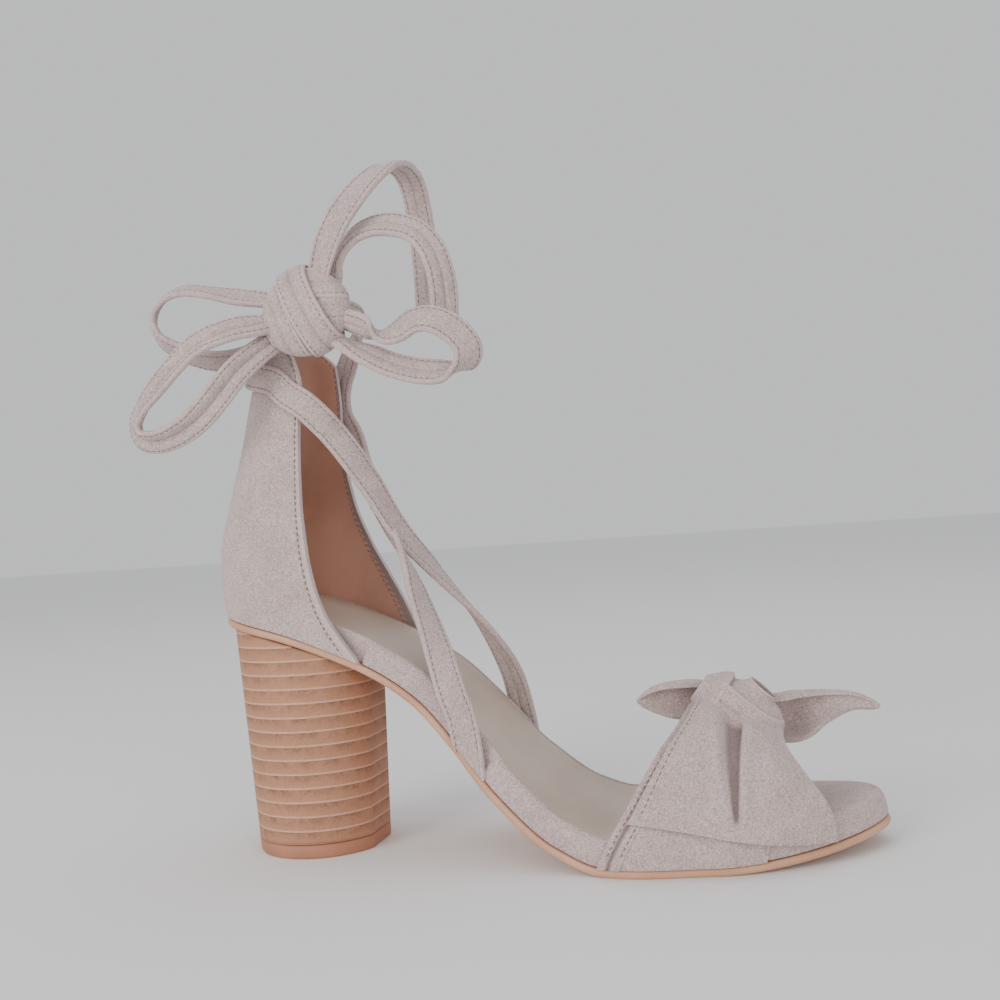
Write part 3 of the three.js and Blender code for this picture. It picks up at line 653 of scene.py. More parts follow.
# The turned-in suede is its own colour darkened with painted shade.
turned_in = blend_colour(tree, pinked_edge(tree), tone.links[0].from_socket, (0.27, 0.2, 0.19, 1))
tree.links.new(turned_in, tone)
heel_cup = new_piece("heel_cup_shell", grid_skin(120, 60, cup_skin), [cup_suede, cup_lining])
give_wall(heel_cup, CUP_WALL, 0.7, lined=True)
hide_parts("heel_cup")
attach(heel_cup, "root")


def cup_row(turns, heights, lift):
    line = [cup_point(t, h, -lift) for t, h in zip(turns, heights)]
    out = [cup_point(t, h, -1.0) - cup_point(t, h, 0.0) for t, h in zip(turns, heights)]
    return line, out


def spaced_row(steps, first, last):
    return [mix(first, last, k / steps) for k in range(steps + 1)]


CUP_SEAM = 1 - 2.1 / FRONT_TO_MIDDLE
down, round_top = spaced_row(60, 0.985, 0.02), spaced_row(90, -0.952, 0.952)
cup_rows = []
for lift, flip in ((0.12, 1), (-CUP_WALL - 0.12, -1)):
    for turns, heights in (([-CUP_SEAM] * len(down), down), ([CUP_SEAM] * len(down), down),
                           (round_top, [0.982] * len(round_top))):
        line, out = cup_row(turns, heights, lift)
        cup_rows.append((line, [o * flip for o in out]))
sewn_piece("heel_cup_stitches", cup_rows)


# Toe band: the strap over the toes, suede on a thin lining, lasted between board and outsole at
# both sides. Its rear edge has a narrow binding and a deep groove beside it, with a row of stitches
# on each side of the groove.
BAND_RISE, BAND_SQUARE, BINDING_WIDE, HEM_WIDE = 48.0, 2.4, 2.8, 7.2
BAND_EDGES = (  # turn, rear, front, front of the overlay
    (-1.0, 0.613, 0.836, 0.928), (-0.9, 0.637, 0.845, 0.926), (-0.78, 0.663, 0.855, 0.92),
    (-0.55, 0.699, 0.845, 0.893), (-0.3, 0.727, 0.83, 0.868), (0.0, 0.738, 0.825, 0.86),
    (0.35, 0.735, 0.829, 0.854), (0.7, 0.705, 0.825, 0.842), (1.0, 0.676, 0.822, 0.838),
)
BAND_CROWN = ((0.55, 1.1), (0.66, 1.03), (0.74, 0.93), (0.79, 0.86), (0.87, 0.67), (0.93, 0.56))
FURROW_WIDE, FURROW_DEEP, HEM_PROUD = 0.65, 1.4, 0.6


def arch_point(share, turn, out):
    lap = min(abs(turn), 1.0) * math.pi / 2
    side = -1 if turn < 0 else 1
    reach = sole_half(share, side) + BAND_PROUD - BAND_WALL + out
    height = BAND_RISE * read_table(BAND_CROWN, 1, share) - BAND_WALL + out
    y = side * reach * math.sin(lap) ** (2 / BAND_SQUARE)
    return sole_line(share) + Vector((0, y, AIR + height * math.cos(lap) ** (2 / BAND_SQUARE)))


def edge_of_band(column, turn):
    return read_table(BAND_EDGES, column, turn)


def band_point(turn, v, out=BAND_WALL):
    return arch_point(mix(edge_of_band(1, turn), edge_of_band(2, turn), v), turn, out)


def behind_hem(u, v):
    """Millimetres from the band's rear edge."""
    turn = mix(1, -1, u)
    return v * (edge_of_band(2, turn) - edge_of_band(1, turn)) * SHOE_LONG


def furrow(u, v):
    """1 in the groove beside the narrow binding at the rear edge."""
    return math.exp(-((behind_hem(u, v) - BINDING_WIDE - 0.6) / FURROW_WIDE) ** 2)


def band_skin(u, v):
    step = HEM_PROUD * (1 - ease(HEM_WIDE, HEM_WIDE + 0.5, behind_hem(u, v)))
    return band_point(mix(1, -1, u), v, BAND_WALL + step - FURROW_DEEP * furrow(u, v))


def marked_painted_shade(tree):
    """Painted shade: dark where the piece's mark says that a furrow or hollow is deep."""
    depth = add_node(tree, "ShaderNodeAttribute", {"attribute_name": "mark"}).outputs["Fac"]
    return stretch(tree, depth, 0.1, 1.0, 0.0, 0.62)


band_suede = suede_material("toe band suede", painted_shade=marked_painted_shade)
toe_band = new_piece("toe_band_wall", grid_skin(150, 120, band_skin, mark=furrow), [band_suede, lining])
give_wall(toe_band, BAND_WALL, 0.7, lined=True)
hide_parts("toe_band")
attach(toe_band, "root")


def off_arch(places):
    """The outward directions at places (share, turn) of the arch."""
    return [arch_point(share, turn, 3) - arch_point(share, turn, 2) for share, turn in places]


band_rows = []
for run in (BINDING_WIDE * 0.68, HEM_WIDE - 1.0):
    places = [(edge_of_band(1, t) + run / SHOE_LONG, t) for t in spaced_row(120, -0.97, 0.97)]
    band_rows.append(([arch_point(s, t, BAND_WALL + HEM_PROUD) for s, t in places], off_arch(places)))
sewn_piece("toe_band_stitches", band_rows)


# Overlay of the toe band: a wide piece of soft doubled suede, gathered under the knot into two
# full folds with a deep hollow between them, and caught down at the band's outer side.
DRAPE_WALL, PUFF_NEAR, PUFF_FAR = 1.8, 3.7, 1.6
DRAPE_SEAT = BAND_WALL + AIR
HOLLOW_SHARE, HOLLOW_TOP, HOLLOW_FOOT, HOLLOW_WIDE = 0.801, -0.24, -0.87, 2.6


def ridge(value, middle, wide):
    return math.exp(-((value - middle) / wide) ** 2)


def drape_turn(u, v):
    """A place of the overlay: its share of the shoe's length, and its turn round the arch."""
    turn = mix(mix(-0.86, -0.99, v ** 1.5), 0.99, u)
    return mix(edge_of_band(1, turn) + 3 / SHOE_LONG, edge_of_band(3, turn), v), turn


def hollow(share, turn, inner, outer):
    """1 in the deep hollow between the two folds, a drop shape that is widest under the knot."""
    down = (turn - HOLLOW_TOP) / (HOLLOW_FOOT - HOLLOW_TOP)
    if not 0 < down < 1:
        return 0.0
    wide = HOLLOW_WIDE * (1 - 0.92 * down ** 1.5)
    off = abs(share - HOLLOW_SHARE) * SHOE_LONG
    return (1 - ease(wide * inner, wide + outer, off)) * ease(0, 0.06, down) * (1 - ease(0.9, 1, down))


def drape_place(u, v):
    share, turn = drape_turn(u, v)
    body = math.sin(min(1.0, abs(turn) * 1.25) * math.pi) ** 0.7
    pair = ridge(v, 0.2, 0.2) + ridge(v, 0.72, 0.24) - 0.5 * ridge(v, 0.45, 0.07)
    puff = (PUFF_NEAR if turn < 0 else PUFF_FAR) * body * pair
    down = (turn - HOLLOW_TOP) / (HOLLOW_FOOT - HOLLOW_TOP)
    if 0 < down < 1:
        off = abs(share - HOLLOW_SHARE) * SHOE_LONG
        puff += 1.4 * ridge(off, HOLLOW_WIDE * (1.9 - 0.9 * down), 2.2) * math.sin(math.pi * down) ** 0.7
    puff -= (puff + DRAPE_WALL * 0.9) * hollow(share, turn, 0.75, 0.5)
    soft = noise.noise(Vector((turn * 3.1, v * 3.3, 9.0))) * 0.5
    edge = min(1.0, 9 * v, 9 * (1 - v)) * min(1.0, 12 * u, 12 * (1 - u))
    rolled = 0.9 * math.exp(-(u / 0.02) ** 2) * (1 - ease(0.6, 0.86, v)) * ease(0.0, 0.1, v)
    return arch_point(share, turn, DRAPE_SEAT + DRAPE_WALL + puff + soft * edge + rolled)


toe_drape = new_piece("toe_drape_folds", grid_skin(
    240, 170, lambda u, v: drape_place(1 - u, v),
    mark=lambda u, v: hollow(*drape_turn(1 - u, v), 0.6, 0.6)), [band_suede])
give_wall(toe_drape, DRAPE_WALL, 0.8)
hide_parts("toe_drape")
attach(toe_drape, "root")
DRAPE_SEAM = 0.045
places = spaced_row(160, 0.02, 0.985)
sewn_piece("toe_drape_stitches", [
    ([drape_place(u, DRAPE_SEAM) for u in places], off_arch([drape_turn(u, DRAPE_SEAM) for u in places]))])


# Bow on the toe: a soft knot of two crossing wraps pulled over the overlay, with one pointed
# leaf-like end to the rear and one, folded along its top, to the front.
def free(x, y, z):
    """A point measured level and across from the axis of the heel, and up from the floor."""
    return Vector((HEEL_AXIS + x, y, z))


BOW_MIDDLE, BOW_HALVES, BOW_LEAN = free(152.5, -3, 43.5), Vector((15.5, 12, 11)), math.radians(20)
SEAM_WIDE = 0.06
WRAP_SECTION = [  # across and out, as shares of half the wrap's width and thickness
    (-1, -0.3), (-0.99, 0.45), (-0.95, 0.78), (-0.87, 0.95), (-0.76, 1), (-0.4, 1.03),
    (-SEAM_WIDE, 1.03), (0, 1.03), (SEAM_WIDE, 1.03), (0.4, 1.03), (0.76, 1), (0.87, 0.95),
    (0.95, 0.78), (0.99, 0.45), (1, -0.3), (0.5, -0.6), (-0.5, -0.6), (-1, -0.3)]
WRAP_LAST = len(WRAP_SECTION) - 1
WRAP_FEET, WRAP_RIMS = (0, 14, WRAP_LAST), (2.5, 11.5)


def near_lines(tree, middles, reach, soft, most):
    """Up to most where the surface is near one of several lines along it."""
    across = surface_place(tree)[0]
    top = 0.0
    for middle in middles:
        top = calculate(tree, "MAXIMUM", top, near_line(tree, across, middle, reach, soft))
    return stretch(tree, top, 0.0, 1.0, 0.0, most)


def wrap_shaded(tree):
    """Painted contact shadow: dark lines where a wrap meets what is under it."""
    return near_lines(tree, [k / WRAP_LAST for k in WRAP_FEET], 0.35 / WRAP_LAST, 0.9 / WRAP_LAST, 0.8)


# Painted highlight: paler lines along the wraps' rims, so that their edges show.
def wrap_painted_highlight(tree):
    return near_lines(tree, [k / WRAP_LAST for k in WRAP_RIMS], 0.5 / WRAP_LAST, 1.0 / WRAP_LAST, 0.4)


wrap_suede = suede_material("wrapped suede", pale_edges=wrap_painted_highlight, painted_shade=wrap_shaded)


KNOT_CORE = Vector((1.6, 1.6, 1.6))  # how far inside the knot's own size the wraps are wound


def wrap_ring(middle, halves, lean, tilt, off, wide, thick, lift, crease, sewn=False):
    """A band wound round an egg-shaped knot. tilt, in degrees, turns it in the side view, off moves
    it sideways, lift raises it, and crease sinks its middle."""
    halves, tilt = halves - KNOT_CORE, math.radians(tilt)
    along = Vector((math.cos(tilt), 0, math.sin(tilt)))
    over = Vector((-math.sin(tilt), 0, math.cos(tilt)))
    turned = Matrix.Rotation(lean, 3, "Y")

    def on_egg(direction):
        scale = math.sqrt(sum((direction[i] / halves[i]) ** 2 for i in range(3)))
        return direction / scale

    def place(u, v):
        across, out = WRAP_SECTION[round(u * WRAP_LAST)]
        if abs(across) < SEAM_WIDE:
            out -= crease * (1 - abs(across) / SEAM_WIDE)
        return on_wrap(across * wide / 2, out * thick / 2, v)

    def on_wrap(reach, out, v):
        turn = v * 2 * math.pi
        ring = on_egg(over * math.cos(turn) + Vector((0, -1, 0)) * math.sin(turn))
        reach += off
        span = max(0.15, 1 - (reach / on_egg(along).length) ** 2) ** 0.5
        p = along * reach + ring * span
        normal = Vector([p[i] / halves[i] ** 2 for i in range(3)]).normalized()
        return middle + turned @ (p + normal * (out + lift))

    bm = grid_skin(WRAP_LAST, 96, place)
    bmesh.ops.remove_doubles(bm, verts=bm.verts, dist=2e-6)
    bmesh.ops.recalc_face_normals(bm, faces=bm.faces)
    rows = []
    if sewn:
        for side in (-1, 1):
            reach, places = side * (wide / 2 - STITCH_INSET), spaced_row(120, 0, 1)
            line = [on_wrap(reach, thick / 2 - 0.1, v) for v in places]
            rows.append((line, [on_wrap(reach, thick, v) - p for v, p in zip(places, line)]))
    return bm, rows


def joined(name, parts, materials):
    """One object of several closed forms."""
    whole = bmesh.new()
    whole.loops.layers.uv.new("surface")
    for part in parts:
        mesh = bpy.data.meshes.new("part")
        part.to_mesh(mesh)
        part.free()
        whole.from_mesh(mesh)
        bpy.data.meshes.remove(mesh)
    return new_piece(name, whole, materials)


EGG_INSIDE = 1.2


def egg(middle, halves, lean):
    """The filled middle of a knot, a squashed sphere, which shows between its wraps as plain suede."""
    bm = bmesh.new()
    surface = bm.loops.layers.uv.new("surface")
    bmesh.ops.create_uvsphere(bm, u_segments=40, v_segments=24, radius=1)
    for face in bm.faces:
        for loop in face.loops:
            loop[surface].uv = (0.25, 0.5)
    turned = Matrix.Rotation(lean, 3, "Y")
    for vert in bm.verts:
        spread = [vert.co[i] * (halves[i] - EGG_INSIDE) for i in range(3)]
        vert.co = metres(middle + turned @ Vector(spread))
    return bm


def leaf(rows, up, fold, steps=60, across=24):
    """A pointed end of soft suede. rows give ahead, side, height and half width; fold turns its
    top over."""
    line = even_route([(BOW_MIDDLE.x + ahead, side, height) for ahead, side, height, _ in rows], steps)
    halves = [(i / (len(rows) - 1), row[3]) for i, row in enumerate(rows)]

    def place(u, v):
        k = round(v * steps)
        run = (line[min(steps, k + 1)] - line[max(0, k - 1)]).normalized()
        wide = (up - run * up.dot(run)).normalized()
        face = run.cross(wide)
        if face.y > 0:
            face = -face
        half = read_table(halves, 1, v) * (1 - 0.6 * ease(0.93, 1.0, v))
        lap = mix(-1, 1 + fold, u)
        hollow = 0.12 * half * (1 - lap * lap) if lap < 1 else 0.0
        over = max(0.0, lap - 1)
        up_wide, out = min(lap, 1) - 0.85 * over, 1.3 * min(over, 0.3) - hollow
        return line[k] + wide * half * up_wide + face * half * out

    return grid_skin(across, steps, place)


def even_route(points, steps):
    """Evenly spaced points on the centripetal curve through the given points."""
    points = [Vector(p) for p in points]
    ends = [points[0] * 2 - points[1], *points, points[-1] * 2 - points[-2]]
    line = []
    for a, b, c, d in zip(ends, ends[1:], ends[2:], ends[3:]):
        ab, bc, cd = math.sqrt((b - a).length), math.sqrt((c - b).length), math.sqrt((d - c).length)
        leave = ((b - a) / ab - (c - a) / (ab + bc) + (c - b) / bc) * bc
        arrive = ((c - b) / bc - (d - b) / (bc + cd) + (d - c) / cd) * bc
        for k in range(20):
            t = k / 20
            line.append(b * (2 * t ** 3 - 3 * t ** 2 + 1) + c * (3 * t ** 2 - 2 * t ** 3)
                        + leave * (t ** 3 - 2 * t ** 2 + t) + arrive * (t ** 3 - t ** 2))
    line.append(points[-1])
    gone = [0.0]
    for a, b in zip(line, line[1:]):
        gone.append(gone[-1] + (b - a).length)
    even, i = [], 0
    for k in range(steps + 1):
        due = gone[-1] * k / steps
        while i < len(line) - 2 and gone[i + 1] < due:
            i += 1
        even.append(line[i].lerp(line[i + 1], (due - gone[i]) / (gone[i + 1] - gone[i])))
    return even


REAR_TAIL = (  # ahead of the knot, side, height, half width
    (-8, 1, 47, 6), (-14, 0, 48.3, 6.2), (-20, -3, 48.8, 5.9), (-26, -5, 49.3, 4.3), (-33, -7, 49, 0.6))
FRONT_TAIL = (
    (8, 2, 41.5, 7), (16, 5, 41, 8), (26, 7, 43.7, 5.4), (36, 8, 45, 2.8), (44.5, 8, 42.8, 0.8))
BOW_WRAPS = (  # tilt, off, width, lift, crease
    (66, 6.4, 11.0, -0.7, 0), (71, 1.2, 9.5, 1.0, 0.6), (78, -6.5, 8.5, -0.5, 0), (-15, -10.2, 6.8, 1.7, 0))
bow_wraps = [wrap_ring(BOW_MIDDLE, BOW_HALVES, BOW_LEAN, tilt, off, wide, 2.8, lift, crease)[0]
             for tilt, off, wide, lift, crease in BOW_WRAPS]
bow_knot = joined("toe_bow_knot", [egg(BOW_MIDDLE, BOW_HALVES, BOW_LEAN), *bow_wraps], [wrap_suede])
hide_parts("toe_bow")
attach(bow_knot, "root")
for name, rows, up, fold in (
    ("toe_bow_rear_end", REAR_TAIL, Vector((0.1, 0.35, 1)), 0.5),
    ("toe_bow_front_end", FRONT_TAIL, Vector((0, 0.3, 1)), 0.45),
):
    end = new_piece(name, leaf(rows, up, fold), [suede])
    give_wall(end, 1.5, 0.6, offset=0)
    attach(end, "root")


# Ankle straps: turned strips of suede, with the raw edges meeting along the middle of the back and
# a row of stitches near each edge. They cross over the instep, and run down into the sole's edge.
LEG_LINE = [free(x, 0, z) for x, z in ((9, 197.4), (-7, 150.4), (4, 112.8), (26, 78.96), (75, 22.56))]
STITCH_INSET = 1.5
SEAM_DEEP, STITCH_DEEP = -0.75, 0.96
STRIP_EDGE = (  # inset and out
    (0.0, 0.0), (0.08, 0.5), (0.35, 0.92), (0.85, 1.13), (1.25, 1.08), (STITCH_INSET, STITCH_DEEP),
    (1.75, 1.08), (2.5, 1.18))


def away_from_leg(p):
    best = None
    for a, b in zip(LEG_LINE, LEG_LINE[1:]):
        t = max(0.0, min(1.0, (p - a).dot(b - a) / (b - a).length_squared))
        off = p - a.lerp(b, t)
        if best is None or off.length < best.length:
            best = off
    return best


def twisting(place):
    def facing(p, v, run):
        away = away_from_leg(p)
        away.y = mix(away.y, 1.8 * (p.y - place), 1 - ease(0.76 * CUP_TOP, 0.86 * CUP_TOP, p.z))
        return away
    return facing


def strip_section():
    """Across and out from the strip's middle: the plain face, then the back with its seam."""
    half = STRAP_WIDE / 2
    face = [(half - inset, out) for inset, out in STRIP_EDGE] + [(1.2, 1.22), (0, 1.24)]
    face += [(-across, out) for across, out in reversed(face[:-1])]
    back = [(-(half - inset), -out) for inset, out in STRIP_EDGE[1:]] + [(-0.45, -1.18), (-0.15, -0.85)]
    back += [(0, SEAM_DEEP)] + [(-across, out) for across, out in reversed(back)]
    return face + back + [face[0]]


SECTION = strip_section()
SECTION_LAST = len(SECTION) - 1
SECTION_EDGES = (0.0, SECTION.index((-STRAP_WIDE / 2, 0.0)) / SECTION_LAST, 1.0)
SECTION_SEAM = SECTION.index((0, SEAM_DEEP)) / SECTION_LAST
SECTION_STITCH = STRIP_EDGE.index((STITCH_INSET, STITCH_DEEP)) / SECTION_LAST


# Paler along the strip's folded edges.
def strip_pale_edges(tree):
    return near_lines(tree, SECTION_EDGES, SECTION_STITCH * 0.55, SECTION_STITCH * 0.4, 0.2)


# Painted shade along the grooves of the stitch rows and along the seam of the back.
def strip_painted_shade(tree):
    rows = [edge + side * SECTION_STITCH for edge in SECTION_EDGES for side in (-1, 1)]
    stitched = near_lines(tree, rows, 0.003, 0.012, 0.45)
    return calculate(tree, "MAXIMUM", stitched, near_lines(tree, [SECTION_SEAM], 0.004, 0.02, 0.45))


strip_suede = suede_material("strap suede", pale_edges=strip_pale_edges, painted_shade=strip_painted_shade)


def strip(points, facing, steps, squeeze=None, seed=0.0, lift=None, first=2, fold=0.0):
    """A seamed strip of suede along the points, and the rows of its stitches. fold sinks the
    middle of its back."""
    line = even_route(points, steps)
    frames = []
    for k, p in enumerate(line):
        run = (line[min(steps, k + 1)] - line[max(0, k - 1)]).normalized()
        face = facing(p, k / steps, run)
        face = (face - run * face.dot(run)).normalized()
        sway = 0.1 * noise.noise(Vector((k / steps * 7, seed, 2.0)))
        face = Matrix.Rotation(sway, 3, run) @ face
        frames.append((face, run.cross(face)))
    if lift:
        line = [p + f[0] * lift(k / steps) for k, (p, f) in enumerate(zip(line, frames))]

    def place(across, out, k):
        tight = squeeze(k / steps) if squeeze else 0.0
        face, side = frames[k]
        curl = 2.4 * tight * (across / STRAP_WIDE * 2) ** 2 + fold * math.exp(-(across / 1.6) ** 2)
        return line[k] + side * across * (1 - 0.3 * tight) + face * (out + curl)

    def skin(u, v):
        return place(*SECTION[round(u * SECTION_LAST)], round(v * steps))

    bm = grid_skin(SECTION_LAST, steps, skin, wrap=True)
    rows = []
    for out in (1.0, -1.0):
        for across in (STITCH_INSET - STRAP_WIDE / 2, STRAP_WIDE / 2 - STITCH_INSET):
            run = [place(across, out, k) for k in range(first, steps - 1)]
            rows.append((run, [frames[k][0] * out for k in range(first, steps - 1)]))
    return bm, rows


def on_cup(turn, z, over=0.0):
    return cup_plan(turn, z, -(AIR + 0.15 + STRAP_THICK / 2 + over))


def at_edge(share, side, up):
    return sole_line(share) + Vector((0, side * (sole_half(share, side) + 0.6), up))


INNER_STRAP = (
    at_edge(0.452, 1, -5), at_edge(0.45, 1, BOARD_THICK * 0.6), at_edge(0.446, 1, BOARD_THICK * 1.4),
    free(67.5, 25, 57), free(60, 13.5, 78), free(48, 5, 97), free(37, -2, 112.5), free(29.5, -9, 130),
    free(21.5, -16.5, 146), free(13.5, -22.5, 157), on_cup(-0.78, 163), on_cup(-0.6, 167),
    on_cup(-0.4, 170), on_cup(-0.2, 172), on_cup(0, 172.5), on_cup(0.2, 172.5), on_cup(0.4, 172),
    on_cup(0.62, 171), on_cup(0.86, 169),
)
OUTER_STRAP = (
    at_edge(0.431, -1, -5), at_edge(0.427, -1, BOARD_THICK * 0.6), at_edge(0.42, -1, BOARD_THICK * 1.4),
    free(61, -27, 57), free(53, -19, 76), free(42, -9.5, 96), free(34, -1.5, 110), free(26, 6, 123),
    free(18, 15, 137), free(12, 22.5, 148), on_cup(0.93, 158, 1.5), on_cup(0.93, 168, 1.5),
    free(12, 21.5, 178), free(20, 14, 186), free(25, 1, 190), free(24, -13, 191), free(20, -28, 191),
)


def strap_skin(points, place, share, seed, rise):
    """A strap, raised where it crosses the other, and cut off level with the outsole at its foot."""
    bm, rows = strip(points, twisting(place), 300, seed=seed, first=12,
                     lift=lambda v: rise * ridge(v, 0.34, 0.07))
    slope = sole_run(share)
    bmesh.ops.bisect_plane(
        bm, geom=bm.verts[:] + bm.edges[:] + bm.faces[:], plane_co=metres(on_sole(share, 0, AIR)),
        plane_no=(-slope.z, 0, slope.x), clear_inner=True)
    bmesh.ops.holes_fill(bm, edges=[e for e in bm.edges if e.is_boundary], sides=0)
    return bm, rows


inner_strap, inner_rows = strap_skin(INNER_STRAP, 7, 0.452, 3.0, -0.9)
outer_strap, outer_rows = strap_skin(OUTER_STRAP, -11, 0.431, 8.0, 1.3)
ankle_straps = joined("ankle_straps_strips", [inner_strap, outer_strap], [strip_suede])
sewn_piece("ankle_straps_stitches", inner_rows + outer_rows)
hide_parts("ankle_straps")
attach(ankle_straps, "root")


# Knot of the ankle tie: the strips wound over each other beside the ankle and pulled tight, the
# seamed back of the strip outward.
KNOT_MIDDLE, KNOT_HALVES = free(19.5, -30, 188.5), Vector((17, 7.6, 14.7))
KNOT_WRAPS = (  # tilt, off, width, lift
    (87, 8.6, 10.8, 0.1), (93, -0.8, 9.6, -0.6), (98, -9.0, 9.5, -0.9), (20, -9.2, 11.2, 0.6),
    (25, 1.5, 11.0, 1.6))
knot_wraps, knot_rows = [], []
for tilt, off, wide, lift in KNOT_WRAPS:
    wrap, rows = wrap_ring(KNOT_MIDDLE, KNOT_HALVES, 0, tilt, off, wide, 2.0, lift, 0.7, sewn=True)
    knot_wraps.append(wrap)
    knot_rows.extend(rows)
tie_knot = joined("tie_knot_wraps", [egg(KNOT_MIDDLE, KNOT_HALVES, 0), *knot_wraps], [wrap_suede])
sewn_piece("tie_knot_stitches", knot_rows)
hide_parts("tie_knot")
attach(tie_knot, "root")


# Loops and ends of the ankle tie: the same stitched strips, out of the knot in three loops and two
# free ends. In the lower loop the seam of the back is outward and has opened into a crease.
ACROSS, LEVEL = Vector((0, 1, 0)), Vector((1, 0, 0))

# A tie bends round an axis, and out, 1 or -1, is the side of it that faces out. crease is the depth
# of the fold along its middle. leans gives, by share of its length, how far its face leans.
Tie = namedtuple("Tie", "round out crease leans points")
TIES = {
    "loop_upper": Tie(ACROSS, 1, 0.0, ((0, 1), (0.15, 0.8), (0.3, 0.4), (0.5, 0.6), (0.7, 0.7), (1, 0.8)), (
        (8, -27, 193), (0.5, -27, 195), (-7, -27.5, 197), (-14.5, -29, 199), (-21, -30, 200.5),
        (-27, -30, 201.5), (-32.5, -30, 200.5), (-37, -30, 198), (-40, -29.5, 194), (-40, -29, 189.5),
        (-38, -27.5, 185), (-32.5, -25.5, 181), (-24.5, -24.5, 177.5), (-15.5, -24.5, 176),
        (-6.5, -24.5, 177), (3, -25, 180.5))),
    "loop_lower": Tie(ACROSS, -1, 1.5, (
        (0, 1.6), (0.1, 2.4), (0.35, 1.9), (0.5, 0.9), (0.6, 1.1), (0.75, 2), (0.9, 2.4), (1, 1.4)), (
        (9.5, -31, 187), (4, -35.5, 185.5), (-3, -38.5, 184.5), (-9.5, -39.5, 183), (-14.5, -40, 181.5),
        (-20, -40, 179), (-26.5, -40, 174), (-35, -39, 167), (-42, -38, 160.5), (-45.5, -37, 155),
        (-44, -36.5, 150), (-38.5, -36.5, 148.5), (-32, -36.5, 149.5), (-25, -36.5, 152.5),
        (-18.5, -36.5, 157), (-12, -36, 163.5), (-6.5, -35, 169.5), (0.5, -33, 175.5), (8, -30, 181))),
    "loop_right": Tie(ACROSS, -1, 0.0, (
        (0, 1.8), (0.13, 1.4), (0.22, -0.9), (0.32, -2.2), (0.46, -1.9), (0.56, 0), (0.65, 1.6),
        (0.82, 1.3), (0.92, 0.4), (1, 0.2)), (
        (29, -29, 185), (36, -31, 182.5), (41.5, -32, 180), (46.5, -32.5, 177.5), (50.5, -33, 177),
        (54.5, -34, 178), (59, -35, 180), (65, -36, 180), (70.5, -36, 177.5), (75.5, -36, 173),
        (77.5, -35, 168.5), (75.5, -33, 164.5), (69.5, -31, 163), (62.5, -30, 163.5), (55.5, -29.5, 165),
        (48.5, -29.5, 167.5), (43, -29.5, 170.5), (37, -29.5, 174), (30, -29.5, 179))),
    "end_over": Tie(LEVEL, 1, 0.0, ((0, 0.6), (0.15, 0.2), (0.5, 0), (1, 0)), (
        (25, -30, 199), (27, -30.5, 205.5), (29.5, -31, 211.5), (34, -31, 219), (39.5, -29, 226.5),
        (44, -24.5, 233), (47, -16.5, 238.5), (48.5, -7, 240.5), (49, 2.5, 238), (49, 9, 229),
        (49, 12, 217), (49, 13, 204), (49, 13, 192))),
    "end_forward": Tie(ACROSS, 1, 0.0, (
        (0, -1.4), (0.2, -0.8), (0.4, -1.4), (0.55, -1.5), (0.75, -1.3), (1, -1.3)), (
        (27, -25, 199), (28.5, -24.5, 205), (32, -24, 210.5), (37, -24, 214.5), (44, -25, 216),
        (52, -26, 215), (59.5, -27, 211.5), (64.5, -27, 205.5), (67, -27, 198), (68, -27, 190),
        (67.5, -26.5, 182))),
}


def bending(tie):
    """The strip bends round its axis, as suede does, and its face leans out along it."""
    def facing(p, v, run):
        return (tie.round.cross(run) - ACROSS * read_table(tie.leans, 1, v)) * tie.out
    return facing


INTO_KNOT, PULLED_OVER = 0.5, 16.0


def near_knot(is_loop, long):
    """1 where the strip leaves the knot, fading out over a few millimetres."""
    def squeeze(v):
        near = min(v, 1 - v) if is_loop else v
        return math.exp(-(near * long / PULLED_OVER) ** 2)
    return squeeze


TIE_STEPS, PATH_STEPS = 150, 24
for seed, (name, tie) in enumerate(TIES.items()):
    points = [free(*p) for p in tie.points]
    is_loop = name.startswith("loop")
    points.insert(0, points[0].lerp(KNOT_MIDDLE, INTO_KNOT))
    if is_loop:
        points.append(points[-1].lerp(KNOT_MIDDLE, INTO_KNOT))
    line = even_route(points, TIE_STEPS)
    long = sum((b - a).length for a, b in zip(line, line[1:]))
    squeeze = near_knot(is_loop, long)
    bm, rows = strip(points, bending(tie), TIE_STEPS, squeeze, seed * 5.0, fold=tie.crease)
    ribbon = new_piece(f"tie_{name}_strip", bm, [strip_suede])
    ribbon_stitches = sewn_piece(f"tie_{name}_stitches", rows)
    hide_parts(f"tie_{name}")
    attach(ribbon, "root")


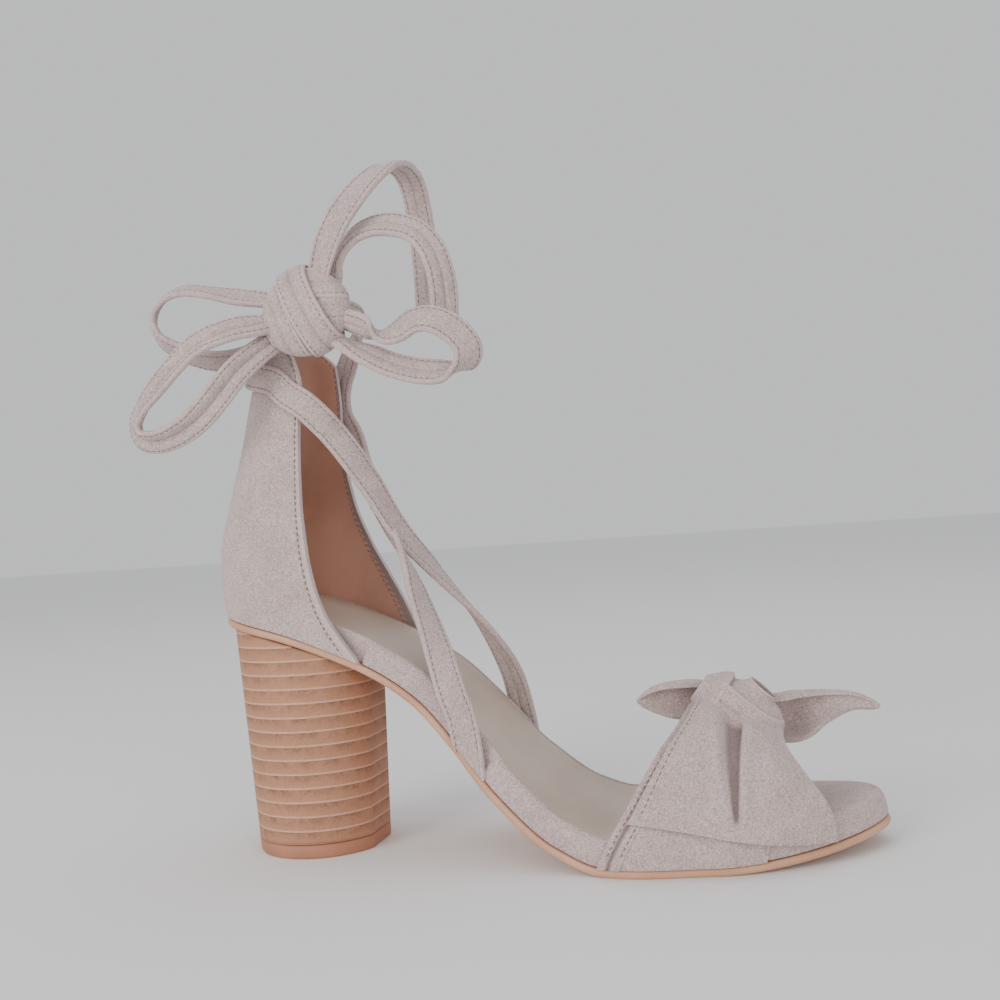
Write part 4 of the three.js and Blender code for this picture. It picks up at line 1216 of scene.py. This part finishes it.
# Floor, light and camera: a pale sweep under soft daylight from the left, and the camera low at
# the outer side of the shoe, tilted as the photo is.
bm = bmesh.new()
bmesh.ops.create_grid(bm, x_segments=1, y_segments=1, size=6.0)
floor_material = new_material("pale floor", Base_Color=(0.85, 0.85, 0.85, 1), Roughness=0.9)[0]
floor = new_piece("floor", bm, [floor_material], smooth=False)

world = bpy.data.worlds.new("studio")
bpy.context.scene.world = world
world.use_nodes = True
sky = world.node_tree.nodes["Background"].inputs
sky["Color"].default_value, sky["Strength"].default_value = (0.97, 0.98, 1.0, 1), 0.75


def softbox(name, place, aim, size, power, tint=(1, 1, 1)):
    light = bpy.data.lights.new(name, "AREA")
    light.size, light.energy, light.color = size, power, tint
    lamp = bpy.data.objects.new(name, light)
    bpy.context.scene.collection.objects.link(lamp)
    lamp.location = place
    lamp.rotation_euler = (Vector(aim) - Vector(place)).to_track_quat("-Z", "Y").to_euler()


softbox("window", (-0.75, -1.25, 0.55), (0, 0, 0.1), 0.8, 13, (1.0, 0.965, 0.945))
softbox("fill", (0.8, -1.3, 0.4), (0, 0, 0.08), 0.9, 7, (1.0, 0.92, 0.88))
softbox("overhead", (0.1, 0.2, 1.4), (0, 0, 0.05), 1.2, 3)

camera = bpy.data.cameras.new("camera")
camera.sensor_width, camera.lens, camera.clip_start = 36, 40.9, 0.01
eye = bpy.data.objects.new("camera", camera)
bpy.context.scene.collection.objects.link(eye)
PAN = math.radians(6.5)  # turns the camera so that the whole tie is in the picture
EYE_PLACE = (0.09986, -0.3867, 0.11087)
azimuth, tilt, roll = math.radians(9.07) + PAN, math.radians(1.32), math.radians(-4.0)
ahead = Vector((-math.sin(azimuth), math.cos(azimuth), 0.0))
level = Vector((math.cos(azimuth), math.sin(azimuth), 0.0))
look = ahead * math.cos(tilt) + Vector((0, 0, math.sin(tilt)))
upright = level.cross(look)
right = level * math.cos(roll) + upright * math.sin(roll)
above = upright * math.cos(roll) - level * math.sin(roll)
eye.matrix_world = Matrix.Translation(EYE_PLACE) @ Matrix((right, above, -look)).transposed().to_4x4()
bpy.context.scene.camera = eye
